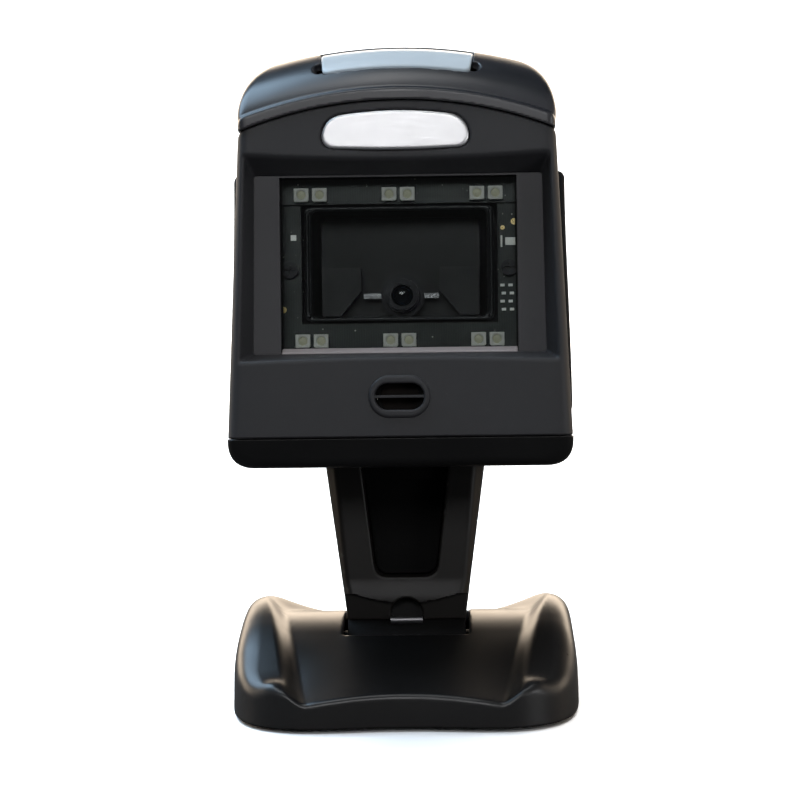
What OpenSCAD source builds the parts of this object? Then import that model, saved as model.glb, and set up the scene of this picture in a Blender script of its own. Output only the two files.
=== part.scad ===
// Presentation barcode scanner: a tilting imager head on a riser column and a weighted foot.
// Millimetres, +Z up, front towards -Y, origin on the counter at the centre of the foot.

/* [Foot] */
// Half width of the foot at its widest
foot_half_w = 41.7; // [39:0.1:44]
// Half depth of the foot
foot_half_d = 43; // [42:0.5:46]
// Height of the saddle barrel above the counter
barrel_top = 19.3; // [18.5:0.1:20.5]
// How far the side cheeks rise above the saddle
cheek_rise = 3.8; // [3:0.1:4.5]
// Wall thickness of the foot shell
foot_wall = 2.2; // [1.8:0.1:2.4]
// Height that the rubber feet stand proud of the base plate
foot_pad_drop = 0.8; // [0.5:0.1:1]

/* [Tilt pivot] */
// Height of the tilt axis above the counter
pivot_z = 10; // [10:0.1:10.5]
// Depth position of the tilt axis
pivot_y = 1; // [0:0.5:2]
// Radius of the steel tilt axle
axle_r = 2.5; // [2:0.1:2.6]
// Running clearance of the axle in its bores
axle_gap = 0.05; // [0.02:0.01:0.1]
// How far the stand leans back in the stored pose, degrees
lean = 7; // [0:1:10]

/* [Column] */
// Half width of the column where it enters the foot
column_foot_hw = 14.4; // [13.6:0.1:14.9]
// Half width of the column where it meets the head
column_head_hw = 19.7; // [18:0.1:21]
// Column front face, measured forward from the tilt axis
column_front = 6.5; // [6:0.1:7]
// Column back face, measured behind the tilt axis
column_back = 4.9; // [4.5:0.1:4.9]

/* [Head] */
// Height of the head's underside above the tilt axis
head_up = 46.4; // [45:0.1:50]
// Distance of the head's front face ahead of the tilt axis
head_ahead = 45.1; // [44:0.1:46]
// Depth of the head from front face to back
head_depth = 53; // [53:0.5:54]
// Half width of the head at its underside
head_hw = 40.4; // [39.5:0.1:40.6]
// Wall thickness of the head's shells
head_wall = 1.9; // [1.6:0.1:2]
// Radius of the arched parting line between bezel and cap
arch_r = 99.8; // [99:0.1:101]
// Height of the arch's centre relative to the head's underside
arch_c = -15; // [-16:0.1:-14]

/* [Window] */
// Half width of the clear aperture
window_hw = 27.7; // [26:0.1:28]
// Lower edge of the clear aperture above the head's underside
window_lo = 26.9; // [26:0.1:27.5]
// Upper edge of the clear aperture above the head's underside
window_hi = 67.8; // [67:0.1:68.5]
// Depth of the shroud panel behind the front face
window_depth = 7.5; // [7:0.1:8]

/* [Button] */
// Travel of the top button
button_travel = 1; // [0.5:0.1:1]
// Half angle that the button spans on the cap's arch
button_half_angle = 9.2; // [8.5:0.1:9.5]

/* [Hidden] */

bore_fn = 48;
arc_steps = 10;
head_fn = 64;

// Points along an arc of radius r about c, from angle a0 to a1
function arc(c, r, a0, a1, n = arc_steps) =
    [for (i = [0:n]) let (a = a0 + (a1 - a0) * i / n) [c[0] + r * cos(a), c[1] + r * sin(a)]];

// Signed power, for superellipse outlines
function spow(v, p) = sign(v) * pow(abs(v), p);

// Extrudes an (x, z) outline along Y, from y0 to y1
module prism_y(points, y0, y1) {
    translate([0, y1, 0]) rotate([90, 0, 0]) linear_extrude(y1 - y0) polygon(points);
}

// Extrudes a (y, z) outline along X, from x0 to x1
module prism_x(points, x0, x1) {
    translate([x0, 0, 0]) rotate([90, 0, 90]) linear_extrude(x1 - x0) polygon(points);
}

// A cylinder along Y whose near end is at y0
module rod_y(x, z, r, y0, y1, fn = bore_fn) {
    translate([x, y1, z]) rotate([90, 0, 0]) cylinder(h = y1 - y0, r = r, $fn = fn);
}

// A cylinder along X
module rod_x(y, z, r, x0, x1, fn = bore_fn) {
    translate([x0, y, z]) rotate([0, 90, 0]) cylinder(h = x1 - x0, r = r, $fn = fn);
}

module box(lo, hi) {
    translate(lo) cube(hi - lo);
}

module both_sides() {
    children();
    mirror([1, 0, 0]) children();
}

// Stand frame: origin on the tilt axis, leaning back with the stored pose
module stand_frame() {
    translate([0, pivot_y, pivot_z]) rotate([-lean, 0, 0]) children();
}

// Head frame: origin at the front lower lip, Y into the head, Z up its face
module head_frame() {
    stand_frame() translate([0, -head_ahead, head_up]) children();
}

// ---------------------------------------------------------------- foot

plate_lo = foot_pad_drop;
plate_hi = plate_lo + 1.8;
ramp_tan = 0.305;
barrel_r = 45;
front_dent = 2.4;
dent_half = 30;
plan_power = 4.4;
plan_shift = 0.51;
pad_at = [29, 28];
pad_r = 5;
base_screw_at = [18, 33.5];
insert_y = 28;
insert_bore_r = 1.65;
insert_r = 3.2;
slot_hw = 15.3;
slot_reach = 14;
bracket_in = 17;
bracket_t = 1.6;
bracket_screw_x = 23.5;
stop_back_z = 7.4;
stop_front_z = 8.75;

// Plan outline of the foot, drawn in by `inset`, with a shallow dent along the front
function foot_plan(inset) = [for (t = [0:5:355])
    let (x = (foot_half_w - inset) * spow(cos(t), 2 / plan_power),
         y = (foot_half_d - inset) * spow(sin(t), 2 / plan_power),
         dent = (y < 0 && abs(x) < dent_half) ? front_dent * pow(cos(90 * x / dent_half), 2) : 0)
    [x, y + dent - plan_shift]];

// Side profile of the saddle: a ramp, a barrel crown and a ramp, lowered by `drop`
function saddle_profile(drop) = let (
        a = atan(ramp_tan),
        cz = barrel_top - barrel_r - drop,
        tx = barrel_r * sin(a),
        tz = cz + barrel_r * cos(a),
        end = foot_half_d + 2,
        front_z = tz - (end + pivot_y - tx) * ramp_tan,
        back_z = tz - (end - pivot_y - tx) * ramp_tan)
    concat([[-end, -1], [end, -1], [end, back_z]],
           arc([pivot_y, cz], barrel_r, 90 - a, 90 + a, 14),
           [[-end, front_z]]);

// End-on profile that drafts the cheeks inward and rounds their crests
function cheek_section(inset) = let (
        w = foot_half_w - inset,
        top = barrel_top + cheek_rise - inset,
        r = 5)
    concat([[w, -1], [w, 8]], arc([w - 1.6 - r, top - r], r, 10, 90, 6),
           arc([-(w - 1.6 - r), top - r], r, 90, 170, 6), [[-w, 8], [-w, -1]]);

module foot_solid(inset) {
    intersection() {
        linear_extrude(barrel_top + cheek_rise + 1) polygon(foot_plan(inset));
        prism_y(cheek_section(inset), -foot_half_d - 2, foot_half_d + 2);
        union() {
            prism_x(saddle_profile(inset), -foot_half_w - 1, foot_half_w + 1);
            both_sides()
                prism_x(saddle_profile(inset - cheek_rise), 26.5 + inset, foot_half_w + 1);
        }
    }
}

module base_shell() {
    color([0.12, 0.12, 0.13]) difference() {
        foot_solid(0);
        difference() {
            foot_solid(foot_wall);
            for (sx = [-1, 1], sy = [-1, 1])
                translate([sx * base_screw_at[0], sy * base_screw_at[1], plate_hi])
                    cylinder(h = 20, r = 3, $fn = 32);
        }
        box([-60, -60, -2], [60, 60, plate_lo]);
        for (sx = [-1, 1], sy = [-1, 1])
            translate([sx * base_screw_at[0], sy * base_screw_at[1], 0])
                cylinder(h = 6, r = 1.1, $fn = 24);
        box([-slot_hw, pivot_y - slot_reach, 4], [slot_hw, pivot_y + slot_reach, 40]);
    }
}

module base_plate() {
    color([0.1, 0.1, 0.11]) difference() {
        union() {
            translate([0, 0, plate_lo])
                linear_extrude(plate_hi - plate_lo) polygon(foot_plan(foot_wall + 0.5));
            for (sy = [-1, 1])
                translate([0, sy * insert_y, plate_hi - 0.1]) cylinder(h = 4.3, r = 5, $fn = 40);
            box([-14, pivot_y + 7.6, plate_hi - 0.1], [14, pivot_y + 9.4, stop_back_z]);
            box([-14, pivot_y - 9.4, plate_hi - 0.1], [14, pivot_y - 7.6, stop_front_z]);
        }
        for (sx = [-1, 1], sy = [-1, 1]) {
            translate([sx * pad_at[0], sy * pad_at[1], 0])
                cylinder(h = plate_lo + 0.9, r = pad_r + 0.05, $fn = bore_fn);
            translate([sx * base_screw_at[0], sy * base_screw_at[1], 0]) {
                cylinder(h = 10, r = 1.5, $fn = 24);
                cylinder(h = plate_lo + 0.9, r = 2.7, $fn = 32);
            }
            translate([sx * bracket_screw_x, pivot_y, 0]) cylinder(h = 10, r = 1.1, $fn = 24);
        }
        for (sy = [-1, 1])
            translate([0, sy * insert_y, 0]) cylinder(h = 10, r = insert_r, $fn = bore_fn);
    }
}

module ballast_plate() {
    color([0.45, 0.46, 0.48]) difference() {
        box([-35, -21, plate_hi], [35, 21, plate_hi + 2.4]);
        box([-16.6, -10, 0], [16.6, 12, 20]);
        box([-27.6, pivot_y - 5.4, 0], [27.6, pivot_y + 5.4, 20]);
    }
}

module rubber_feet() {
    color([0.05, 0.05, 0.05])
        for (sx = [-1, 1], sy = [-1, 1])
            translate([sx * pad_at[0], sy * pad_at[1], 0])
                cylinder(h = plate_lo + 0.85, r = pad_r, $fn = bore_fn);
}

// A pan-head screw along -Z: head below, shank above, tip at z1
module screw_up(x, y, z_head, head_h, head_r, shank_r, z1) {
    translate([x, y, z_head]) difference() {
        union() {
            cylinder(h = head_h, r = head_r, $fn = 32);
            cylinder(h = z1 - z_head, r = shank_r, $fn = 24);
        }
        for (a = [0, 90]) rotate([0, 0, a])
            box([-head_r * 0.6, -0.25, -0.1], [head_r * 0.6, 0.25, head_h * 0.5]);
    }
}

module base_screws() {
    color([0.55, 0.55, 0.57])
        for (sx = [-1, 1], sy = [-1, 1])
            screw_up(sx * base_screw_at[0], sy * base_screw_at[1], plate_lo + 0.1, 0.75, 2.6, 1.05, 5.6);
}

module counter_inserts() {
    color([0.75, 0.6, 0.3])
        for (sy = [-1, 1]) translate([0, sy * insert_y, plate_lo]) difference() {
            cylinder(h = 5.8, r = insert_r - 0.02, $fn = bore_fn);
            translate([0, 0, -1]) cylinder(h = 6, r = insert_bore_r, $fn = bore_fn);
        }
}

// Two folded steel ears that carry the axle
module pivot_bracket() {
    z0 = plate_hi;
    color([0.6, 0.61, 0.63]) both_sides() difference() {
        union() {
            box([bracket_in, pivot_y - 5, z0], [bracket_in + bracket_t, pivot_y + 5, pivot_z]);
            rod_x(pivot_y, pivot_z, 5, bracket_in, bracket_in + bracket_t);
            box([bracket_in, pivot_y - 5, z0], [27, pivot_y + 5, z0 + 1.2]);
        }
        rod_x(pivot_y, pivot_z, axle_r + axle_gap, bracket_in - 1, bracket_in + bracket_t + 1);
        translate([bracket_screw_x, pivot_y, 0]) cylinder(h = 20, r = 1.6, $fn = 24);
    }
}

module bracket_screws() {
    z0 = plate_hi + 1.2;
    color([0.5, 0.5, 0.52]) for (sx = [-1, 1])
        translate([sx * bracket_screw_x, pivot_y, z0]) difference() {
            union() {
                cylinder(h = 1.4, r = 2.6, $fn = 32);
                translate([0, 0, plate_lo + 1 - z0]) cylinder(h = z0 - plate_lo, r = 1.05, $fn = 24);
            }
            for (a = [0, 90]) rotate([0, 0, a]) box([-1.6, -0.3, 0.7], [1.6, 0.3, 3]);
        }
}

module tilt_axle() {
    end = bracket_in + bracket_t + 2.6;
    color([0.75, 0.76, 0.78]) difference() {
        rod_x(pivot_y, pivot_z, axle_r, -end, end);
        both_sides() difference() {
            rod_x(pivot_y, pivot_z, axle_r + 1, end - 1.6, end - 0.9);
            rod_x(pivot_y, pivot_z, axle_r - 0.5, end - 2, end);
        }
    }
}

module axle_clips() {
    end = bracket_in + bracket_t + 2.6;
    color([0.35, 0.36, 0.38]) both_sides() difference() {
        rod_x(pivot_y, pivot_z, 3.9, end - 1.55, end - 0.95);
        rod_x(pivot_y, pivot_z, axle_r - 0.45, end - 3, end + 1);
        box([end - 3, pivot_y - 1.5, pivot_z - 6], [end + 1, pivot_y + 1.5, pivot_z]);
    }
}

module friction_washers() {
    color([0.1, 0.1, 0.1]) both_sides() difference() {
        rod_x(pivot_y, pivot_z, 5, column_foot_hw + 0.15, bracket_in - 0.15);
        rod_x(pivot_y, pivot_z, axle_r + axle_gap, column_foot_hw - 1, bracket_in + 1);
    }
}

// ---------------------------------------------------------------- column

drum_r = 9;
knuckle_r = 4.2;
column_z0 = 7.5;
frame_z0 = 14;
recess_top_hw = 10.7;
recess_bot_hw = 7.6;
recess_z0 = 18.7;
recess_depth = 7;
notch_r = 3.9;
notch_z = 9.6;
cover_t = 1.6;
column_wall = 1.8;

function column_hw(z) =
    column_foot_hw + (column_head_hw - column_foot_hw) * (z - column_z0) / (head_up - column_z0);

// Barrel-shaped foot of the column, with the knuckle that turns on the axle
module foot_drum() {
    color([0.07, 0.07, 0.08]) stand_frame() difference() {
        union() {
            intersection() {
                rod_x(0, 0, drum_r, -column_foot_hw, column_foot_hw, head_fn);
                box([-20, -20, 1.2], [20, 20, 20]);
            }
            rod_x(0, 0, knuckle_r, -column_foot_hw, column_foot_hw);
            box([-10, -column_front + 1.9 + 1.4, 3], [10, column_back - cover_t, frame_z0 + 1]);
        }
        rod_x(0, 0, axle_r + axle_gap, -30, 30);
        for (sx = [-1, 1]) rod_y(sx * 7, 12.5, 1.05, -0.5, 20, 24);
    }
}

// Steel pin across the notch at the column's foot
module cross_pin() {
    color([0.8, 0.8, 0.8]) stand_frame()
        rod_x(0.6 - column_front, notch_z - 1.6, 0.9, -notch_r, notch_r, 32);
}

// Column casting: tapered body with a raised frame round an open cable channel
module column_shell() {
    f = -column_front;
    b = column_back - cover_t;
    body = [[-column_hw(column_z0), column_z0], [column_hw(column_z0), column_z0],
            [column_head_hw, head_up], [-column_head_hw, head_up]];
    frame = [[-column_hw(frame_z0) + 0.6, frame_z0 + 0.9], [-7, frame_z0 - 0.3], [7, frame_z0 - 0.3],
             [column_hw(frame_z0) - 0.6, frame_z0 + 0.9],
             [column_head_hw - 2.4, head_up], [-column_head_hw + 2.4, head_up]];
    w = column_wall;
    inner = [[-column_hw(frame_z0) + w, column_z0 - 1], [column_hw(frame_z0) - w, column_z0 - 1],
             [column_head_hw - w, head_up - w], [-column_head_hw + w, head_up - w]];
    r = 2;
    channel = concat([[recess_top_hw, head_up + 1]],
        arc([recess_bot_hw - r, recess_z0 + r], r, 0, -90, 5),
        arc([-recess_bot_hw + r, recess_z0 + r], r, 270, 180, 5), [[-recess_top_hw, head_up + 1]]);
    color([0.12, 0.115, 0.11]) stand_frame() difference() {
        union() {
            prism_y(body, f + 1.5, b);
            prism_y(frame, f, f + 1.6);
        }
        difference() {
            prism_y(inner, f + 1.5 + w, b + 1);
            both_sides() box([recess_top_hw + 1.2, f, frame_z0 + 5], [recess_top_hw + 2.6, b, head_up]);
            box([-12, f, 15.3], [12, b, recess_z0 - 0.8]);
        }
        prism_y(channel, f - 1, f + recess_depth);
        rod_y(0, notch_z, notch_r, f - 1, f + 5);
        box([-notch_r, f - 1, column_z0 - 1], [notch_r, f + 5, notch_z]);
        intersection() {
            rod_x(0, 0, drum_r + 0.1, -30, 30, head_fn);
            box([-30, -20, 0], [30, 20, 20]);
        }
        box([-11.5, f + 4, head_up - 4], [11.5, b + 1, head_up + 1]);
        rod_y(0, 16.5, 1.1, b - 4, b + 1, 24);
        both_sides() rod_y(16, head_up - 5, 1.1, b - 4, b + 1, 24);
    }
}

module column_cover() {
    y0 = column_back - cover_t;
    z0 = 9.3;
    outline = [[-column_hw(z0), z0], [column_hw(z0), z0],
               [column_head_hw, head_up], [-column_head_hw, head_up]];
    color([0.11, 0.11, 0.115]) stand_frame() difference() {
        prism_y(outline, y0, column_back);
        rod_y(0, 16.5, 1.5, y0 - 1, column_back + 1, 24);
        rod_y(0, 16.5, 2.7, column_back - 0.8, column_back + 1, 32);
        for (sx = [-1, 1]) {
            rod_y(sx * 16, head_up - 5, 1.5, y0 - 1, column_back + 1, 24);
            rod_y(sx * 16, head_up - 5, 2.7, column_back - 0.8, column_back + 1, 32);
            rod_y(sx * 7, 12.5, 1.5, y0 - 1, column_back + 1, 24);
            rod_y(sx * 7, 12.5, 2.7, column_back - 0.8, column_back + 1, 32);
        }
    }
}

// A screw along Y with its head at the back face y_head and its tip at y_tip, in front
module screw_y(x, z, y_head, head_h, head_r, shank_r, y_tip) {
    difference() {
        union() {
            rod_y(x, z, head_r, y_head - head_h, y_head, 32);
            rod_y(x, z, shank_r, y_tip, y_head, 24);
        }
        for (a = [0, 90]) translate([x, y_head, z]) rotate([0, a, 0])
            box([-head_r * 0.6, -head_h * 0.5, -0.25], [head_r * 0.6, 0.2, 0.25]);
    }
}

module column_screws() {
    y = column_back - 0.15;
    color([0.5, 0.5, 0.52]) stand_frame() {
        screw_y(0, 16.5, y, 0.65, 2.5, 1.05, y - 5);
        for (sx = [-1, 1]) {
            screw_y(sx * 16, head_up - 5, y, 0.65, 2.5, 1.05, y - 5);
            screw_y(sx * 7, 12.5, y, 0.65, 2.5, 1.0, 0);
        }
    }
}

// Tongue on top of the column that the head drops over
neck_hw = 11;
neck_y0 = 42.8;
neck_y1 = head_ahead + column_back - cover_t;
neck_top = 12;
neck_screw_z = 7;
neck_back = 49.2;
module neck_tongue() {
    color([0.14, 0.14, 0.15]) head_frame() difference() {
        union() {
            box([-neck_hw, neck_y0, -4], [neck_hw, neck_y1, neck_top]);
            rod_y(-8, neck_screw_z, 2.6, neck_y1 - 1, neck_back, 32);
            rod_y(8, neck_screw_z, 2.6, neck_y1 - 1, neck_back, 32);
        }
        box([-5, neck_y0 + 1.6, -5], [5, neck_y1 - 1.6, 30]);
        for (sx = [-1, 1]) rod_y(sx * 8, neck_screw_z, 1.1, neck_y0 + 1, head_depth + 1, 24);
    }
}

module neck_screws() {
    color([0.5, 0.5, 0.52]) head_frame()
        for (sx = [-1, 1])
            screw_y(sx * 8, neck_screw_z, head_depth - 0.15, 0.65, 2.5, 1.05, head_depth - 7);
}

// ---------------------------------------------------------------- head shells

split_y = 14;
chin_z = 7;
seam = 0.12;
side_taper = 0.0445;
corner_r = 5.6;
back_r = 400;
cap_front = -0.5;
dome_front = 26;
dome_back = 34;
dome_base = 99;
dome_high = 16;
grille_z = 16.4;
grille_hw = 7.2;
grille_hh = 4.95;
screw_post = [33, 12];
post_top_z = 72;

function bezel_hw(z) = head_hw - 0.1 - side_taper * z;

// Arched top edge from right to left, at radius r about the arch's centre
function arch_edge(hw, r, n = 16) = let (a = asin(hw / r)) arc([0, arch_c], r, 90 - a, 90 + a, n);

// Outline of the head below the cap: tapered sides, arched top, rounded lower corners
function housing_outline(inset, z0, hw0, r) = let (
        top_hw = hw0 - side_taper * 78 - inset,
        c = [hw0 - inset - r, z0 + r])
    concat(arc([-c[0], c[1]], r, 180, 270, 6), arc(c, r, -90, 0, 6),
           arch_edge(top_hw, arch_r - seam - inset));

// Outline of the bezel: square lower corners at the chin parting line
function bezel_outline(inset, z0) = let (w0 = bezel_hw(z0) - inset, w1 = bezel_hw(78) - inset)
    concat([[-w0, z0], [w0, z0]], arch_edge(w1, arch_r - seam - inset));

// Side profile of the head, with a gently bowed back
function head_side(inset) = let (
        dz = 42,
        a0 = -asin((dz + 1) / back_r),
        a1 = asin((104 - dz) / back_r))
    concat([[-2, -1]], arc([head_depth - inset - back_r, dz], back_r, a0, a1, 16), [[-2, 104]]);

// Half width and depth of the funnel that leads in to the window
module funnel(grow, y0, y1) {
    t0 = y0 / window_depth;
    t1 = y1 / window_depth;
    module ring(y, t) {
        translate([0, y + 0.01, 0]) rotate([90, 0, 0]) linear_extrude(0.01) polygon([
            [-(37.2 - 3.2 * t) - grow, 25.2 + 1.7 * t - grow],
            [37.2 - 3.2 * t + grow, 25.2 + 1.7 * t - grow],
            [35.8 - 1.9 * t + grow, 72.2 - 4.2 * t + grow],
            [-(35.8 - 1.9 * t) - grow, 72.2 - 4.2 * t + grow]]);
    }
    hull() {
        ring(y0, t0);
        ring(y1, t1);
    }
}

// A stadium outline, hw by hh half sizes
function stadium(cx, cz, hw, hh) =
    concat(arc([cx + hw - hh, cz], hh, -90, 90, 12), arc([cx - hw + hh, cz], hh, 90, 270, 12));

function badge_outline(grow) = let (r = 3.2 + grow, hw = 17.1 + grow)
    concat(arc([-hw + r, 73.9 + r - grow], r, 180, 262, 5), [[0, 73.2 - grow]],
           arc([hw - r, 73.9 + r - grow], r, -82, 0, 5),
           arc([hw - r, 80.9 - r + grow], r, 0, 80, 5), [[8, 82.1 + grow], [0, 82.5 + grow], [-8, 82.1 + grow]],
           arc([-hw + r, 80.9 - r + grow], r, 100, 180, 5));

module front_bezel() {
    color([0.13, 0.135, 0.145]) head_frame() difference() {
        union() {
            difference() {
                prism_y(bezel_outline(0, chin_z + seam), 0, split_y - seam);
                prism_y(bezel_outline(head_wall, chin_z + seam - 4), head_wall, split_y + 1);
            }
            intersection() {
                funnel(1.5, 0, window_depth);
                prism_y(bezel_outline(0.3, chin_z + seam), -1, split_y);
            }
        }
        funnel(0, -0.5, window_depth + 0.5);
        prism_y(stadium(0, grille_z, grille_hw - 0.7, grille_hh - 0.7), -1, head_wall + 1);
        prism_y(badge_outline(0.1), -1, 0.6);
    }
}

module rear_housing() {
    color([0.1, 0.1, 0.105]) head_frame() difference() {
        union() {
            difference() {
                intersection() {
                    prism_y(housing_outline(0, 0, head_hw, corner_r), 0.6, head_depth + 1);
                    prism_x(head_side(0), -60, 60);
                }
                intersection() {
                    prism_y(housing_outline(head_wall, 0, head_hw, corner_r - head_wall), 0.6 + head_wall, 70);
                    prism_x(head_side(head_wall), -60, 60);
                    box([-60, -2, head_wall], [60, 70, 120]);
                }
                box([-60, -2, chin_z], [60, split_y, 120]);
            }
            both_sides() {
                rod_y(screw_post[0], screw_post[1], 3.6, split_y + 1, head_depth - 2.5, 32);
                rod_y(screw_post[0] - 1.5, post_top_z, 3.3, split_y + 1, head_depth - 2.5, 32);
                for (y = [17.5, 25]) translate([15, y, 80.5])
                    cylinder(h = button_board_z - 80.5, r = 2, $fn = 24);
            }
        }
        both_sides() {
            rod_y(screw_post[0], screw_post[1], 1.2, split_y, head_depth + 5, 24);
            rod_y(screw_post[0], screw_post[1], 2.7, head_depth - 5, head_depth + 5, 32);
            rod_y(screw_post[0] - 1.5, post_top_z, 1.2, split_y, head_depth + 5, 24);
            rod_y(screw_post[0] - 1.5, post_top_z, 2.7, head_depth - 8, head_depth + 5, 32);
            rod_y(8, neck_screw_z, 1.5, head_depth - 6, head_depth + 5, 24);
            rod_y(8, neck_screw_z, 2.8, head_depth - 0.9, head_depth + 5, 32);
        }
        box([-neck_hw - 0.3, neck_y0 - 0.3, -1], [neck_hw + 0.3, neck_y1 + 0.3, head_wall + 1]);
        box([-panel_hw - 0.1, head_depth - 8, panel_z0 - 0.1], [panel_hw + 0.1, head_depth + 5, panel_z1 + 0.1]);
        both_sides() prism_y(grip_outline(0.05), grip_y0 - 0.05, grip_y1 + 0.05);
    }
}

// Access panel in the back of the rear housing, with the window for the interface jack
panel_hw = 29;
panel_z0 = 16;
panel_z1 = 68;
panel_screw_z = [22, 62];
module rear_panel() {
    color([0.1, 0.1, 0.105]) head_frame() difference() {
        intersection() {
            difference() {
                prism_x(head_side(0), -60, 60);
                prism_x(head_side(head_wall), -61, 61);
            }
            box([-panel_hw, head_depth - 8, panel_z0], [panel_hw, head_depth + 5, panel_z1]);
        }
        box([-jack_hw + 0.7, head_depth - 6, jack_z0 + 0.7], [jack_hw - 0.7, head_depth + 5, jack_z1 - 0.7]);
        for (sx = [-1, 1], z = panel_screw_z) {
            rod_y(sx * 25, z, 1.3, head_depth - 6, head_depth + 5, 24);
            rod_y(sx * 25, z, 2.5, head_depth - 1.5, head_depth + 5, 32);
        }
    }
}

// Soft side pads, let into the sides of the rear housing
grip_y0 = 17;
grip_y1 = 43;
function grip_outline(grow) = let (
        z0 = 12 - grow, z1 = 69.5 + grow,
        in0 = head_hw - side_taper * 12 - 0.7 - grow, in1 = head_hw - side_taper * 69.5 - 0.7 - grow)
    [[in0, z0], [40, z0], [40.8, z0 + 3], [40.1, z1 - 2.5], [38.9, z1], [in1, z1]];

module side_grips() {
    color([0.06, 0.06, 0.065]) head_frame()
        both_sides() prism_y(grip_outline(0), grip_y0, grip_y1);
}

// Height of the dome above the arch's centre at depth y
function dome_r(y) = let (a = y < dome_front ? dome_front : dome_back)
    dome_base + dome_high * sqrt(max(0, 1 - pow((dome_front - y) / a, 2)));

// Turns a (radius, depth) profile about the arch's axis, over half angle h
module arched(points, h) {
    translate([0, 0, arch_c]) rotate([-90, 0, 0]) rotate([0, 0, -90 - h])
        rotate_extrude(angle = 2 * h, $fn = 180) polygon(points);
}

function dome_profile(drop, r_in, y0, y1, n = 18) =
    concat([[r_in, y1], [r_in, y0]], [for (i = [0:n]) let (y = y0 + (y1 - y0) * i / n) [dome_r(y) - drop, y]]);

cap_half_angle = 24;
button_y0 = 4.6;
button_y1 = 21.2;
button_gap = 0.35;
module top_cap() {
    color([0.14, 0.145, 0.16]) head_frame() difference() {
        intersection() {
            union() {
                arched(dome_profile(0, arch_r + seam, 0.6, head_depth), cap_half_angle);
                arched([[arch_r + seam, cap_front], [arch_r + 2.6, cap_front],
                        [arch_r + 3.4, 0.6], [arch_r + seam, 0.6]], cap_half_angle);
            }
            prism_y(concat([[-36.6, 70], [36.6, 70]], arc([15.8, 81.5], 21.3, 0, 54, 8),
                    arch_edge(28, 119, 10), arc([-15.8, 81.5], 21.3, 126, 180, 8)), -2, 60);
            prism_x(head_side(0), -60, 60);
        }
        intersection() {
            arched(dome_profile(2.2, 60, 2.6, head_depth - 5), cap_half_angle);
            box([-34.5, 2.6, 60], [34.5, head_depth - 5, 120]);
        }
        arched([[arch_r + 1, button_y0 - button_gap], [arch_r + 30, button_y0 - button_gap],
                [arch_r + 30, button_y1 + button_gap], [arch_r + 1, button_y1 + button_gap]],
               button_half_angle + 0.25);
        both_sides() translate([0, 0, arch_c]) rotate([0, button_half_angle + 0.4, 0])
            rod_y(0, dome_r(button_y0) + 2, 1.5, button_y0 - 2, button_y0 + 4, 32);
    }
}

// Post screws that draw the bezel on to the rear housing, and the panel's four
module housing_screws() {
    color([0.5, 0.5, 0.52]) head_frame() both_sides() {
        screw_y(screw_post[0], screw_post[1], head_depth - 3.8, 1.2, 2.5, 1.15, split_y + 4);
        screw_y(screw_post[0] - 1.5, post_top_z, head_depth - 6.8, 1.2, 2.5, 1.15, split_y + 4);
        for (z = panel_screw_z) screw_y(25, z, head_depth - 0.8, 0.65, 2.3, 1.05, head_depth - 8);
    }
}

module badge() {
    color([0.82, 0.82, 0.84]) head_frame() prism_y(badge_outline(0), -0.35, 0.58);
}

module beeper_grille() {
    color([0.11, 0.115, 0.12]) head_frame() difference() {
        union() {
            prism_y(stadium(0, grille_z, grille_hw, grille_hh), -0.6, 0);
            prism_y(stadium(0, grille_z, grille_hw - 0.75, grille_hh - 0.75), -0.1, 2.4);
        }
        difference() {
            prism_y(stadium(0, grille_z, grille_hw - 1.4, grille_hh - 1.9), -1, 1.6);
            box([-9, -2, grille_z - 0.28], [9, 4, grille_z + 0.28]);
        }
        prism_y(stadium(0, grille_z, grille_hw - 1.6, grille_hh - 2.1), 1.4, 3);
    }
}

module beeper_can() {
    color([0.06, 0.06, 0.06]) head_frame() difference() {
        rod_y(0, grille_z, 5.2, 2.4, 8);
        rod_y(0, grille_z, 4.5, 2, 4);
    }
}

module beeper_disc() {
    color([0.72, 0.55, 0.25]) head_frame() rod_y(0, grille_z, 4.4, 3.7, 4);
}

// ---------------------------------------------------------------- window

shroud_t = 1.5;
glass_t = 1.4;
glass_lap = 1.3;
glass_y = window_depth + shroud_t;

module shroud_rect(hw, lo, hi, y0, y1) {
    box([-hw, y0, lo], [hw, y1, hi]);
}

module window_shroud() {
    color([0.16, 0.165, 0.18]) head_frame() difference() {
        shroud_rect(34.3, window_lo - 2.6, window_hi + 3, window_depth + 0.01, glass_y);
        shroud_rect(window_hw, window_lo, window_hi, 0, 20);
        for (sx = [-1, 1]) box([sx * 31 - 1.4, 0, window_lo - 1.8], [sx * 31 + 1.4, 20, window_lo - 0.8]);
    }
}

module window_glass() {
    color([0.5, 0.55, 0.55, 0.35]) head_frame()
        shroud_rect(window_hw + glass_lap, window_lo - glass_lap, window_hi + glass_lap,
                    glass_y, glass_y + glass_t);
}

module window_gasket() {
    y0 = glass_y + glass_t;
    color([0.04, 0.04, 0.04]) head_frame() difference() {
        shroud_rect(window_hw + glass_lap, window_lo - glass_lap, window_hi + glass_lap, y0, y0 + 0.7);
        shroud_rect(window_hw - 0.4, window_lo + 0.4, window_hi - 0.4, y0 - 1, y0 + 2);
    }
}

// ---------------------------------------------------------------- electronics

led_row_lo = 29.7;
led_row_hi = 64.1;
led_pair_x = [-20.8, -0.1, 20.6];
led_pitch = 4.3;
led_size = [3.5, 1.4, 3.2];
led_board_y = 14;
board_t = 1.2;
carrier_y = 15.2;
baffle_hw = 22.6;
baffle_lo = 34;
baffle_hi = 61.6;
lens_at = [0.5, 40.4];
pcb_green = [0.05, 0.16, 0.1];

module led_strip_board(z0, z1) {
    color(pcb_green) head_frame() box([-28.2, led_board_y, z0], [28.2, led_board_y + board_t, z1]);
}

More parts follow.
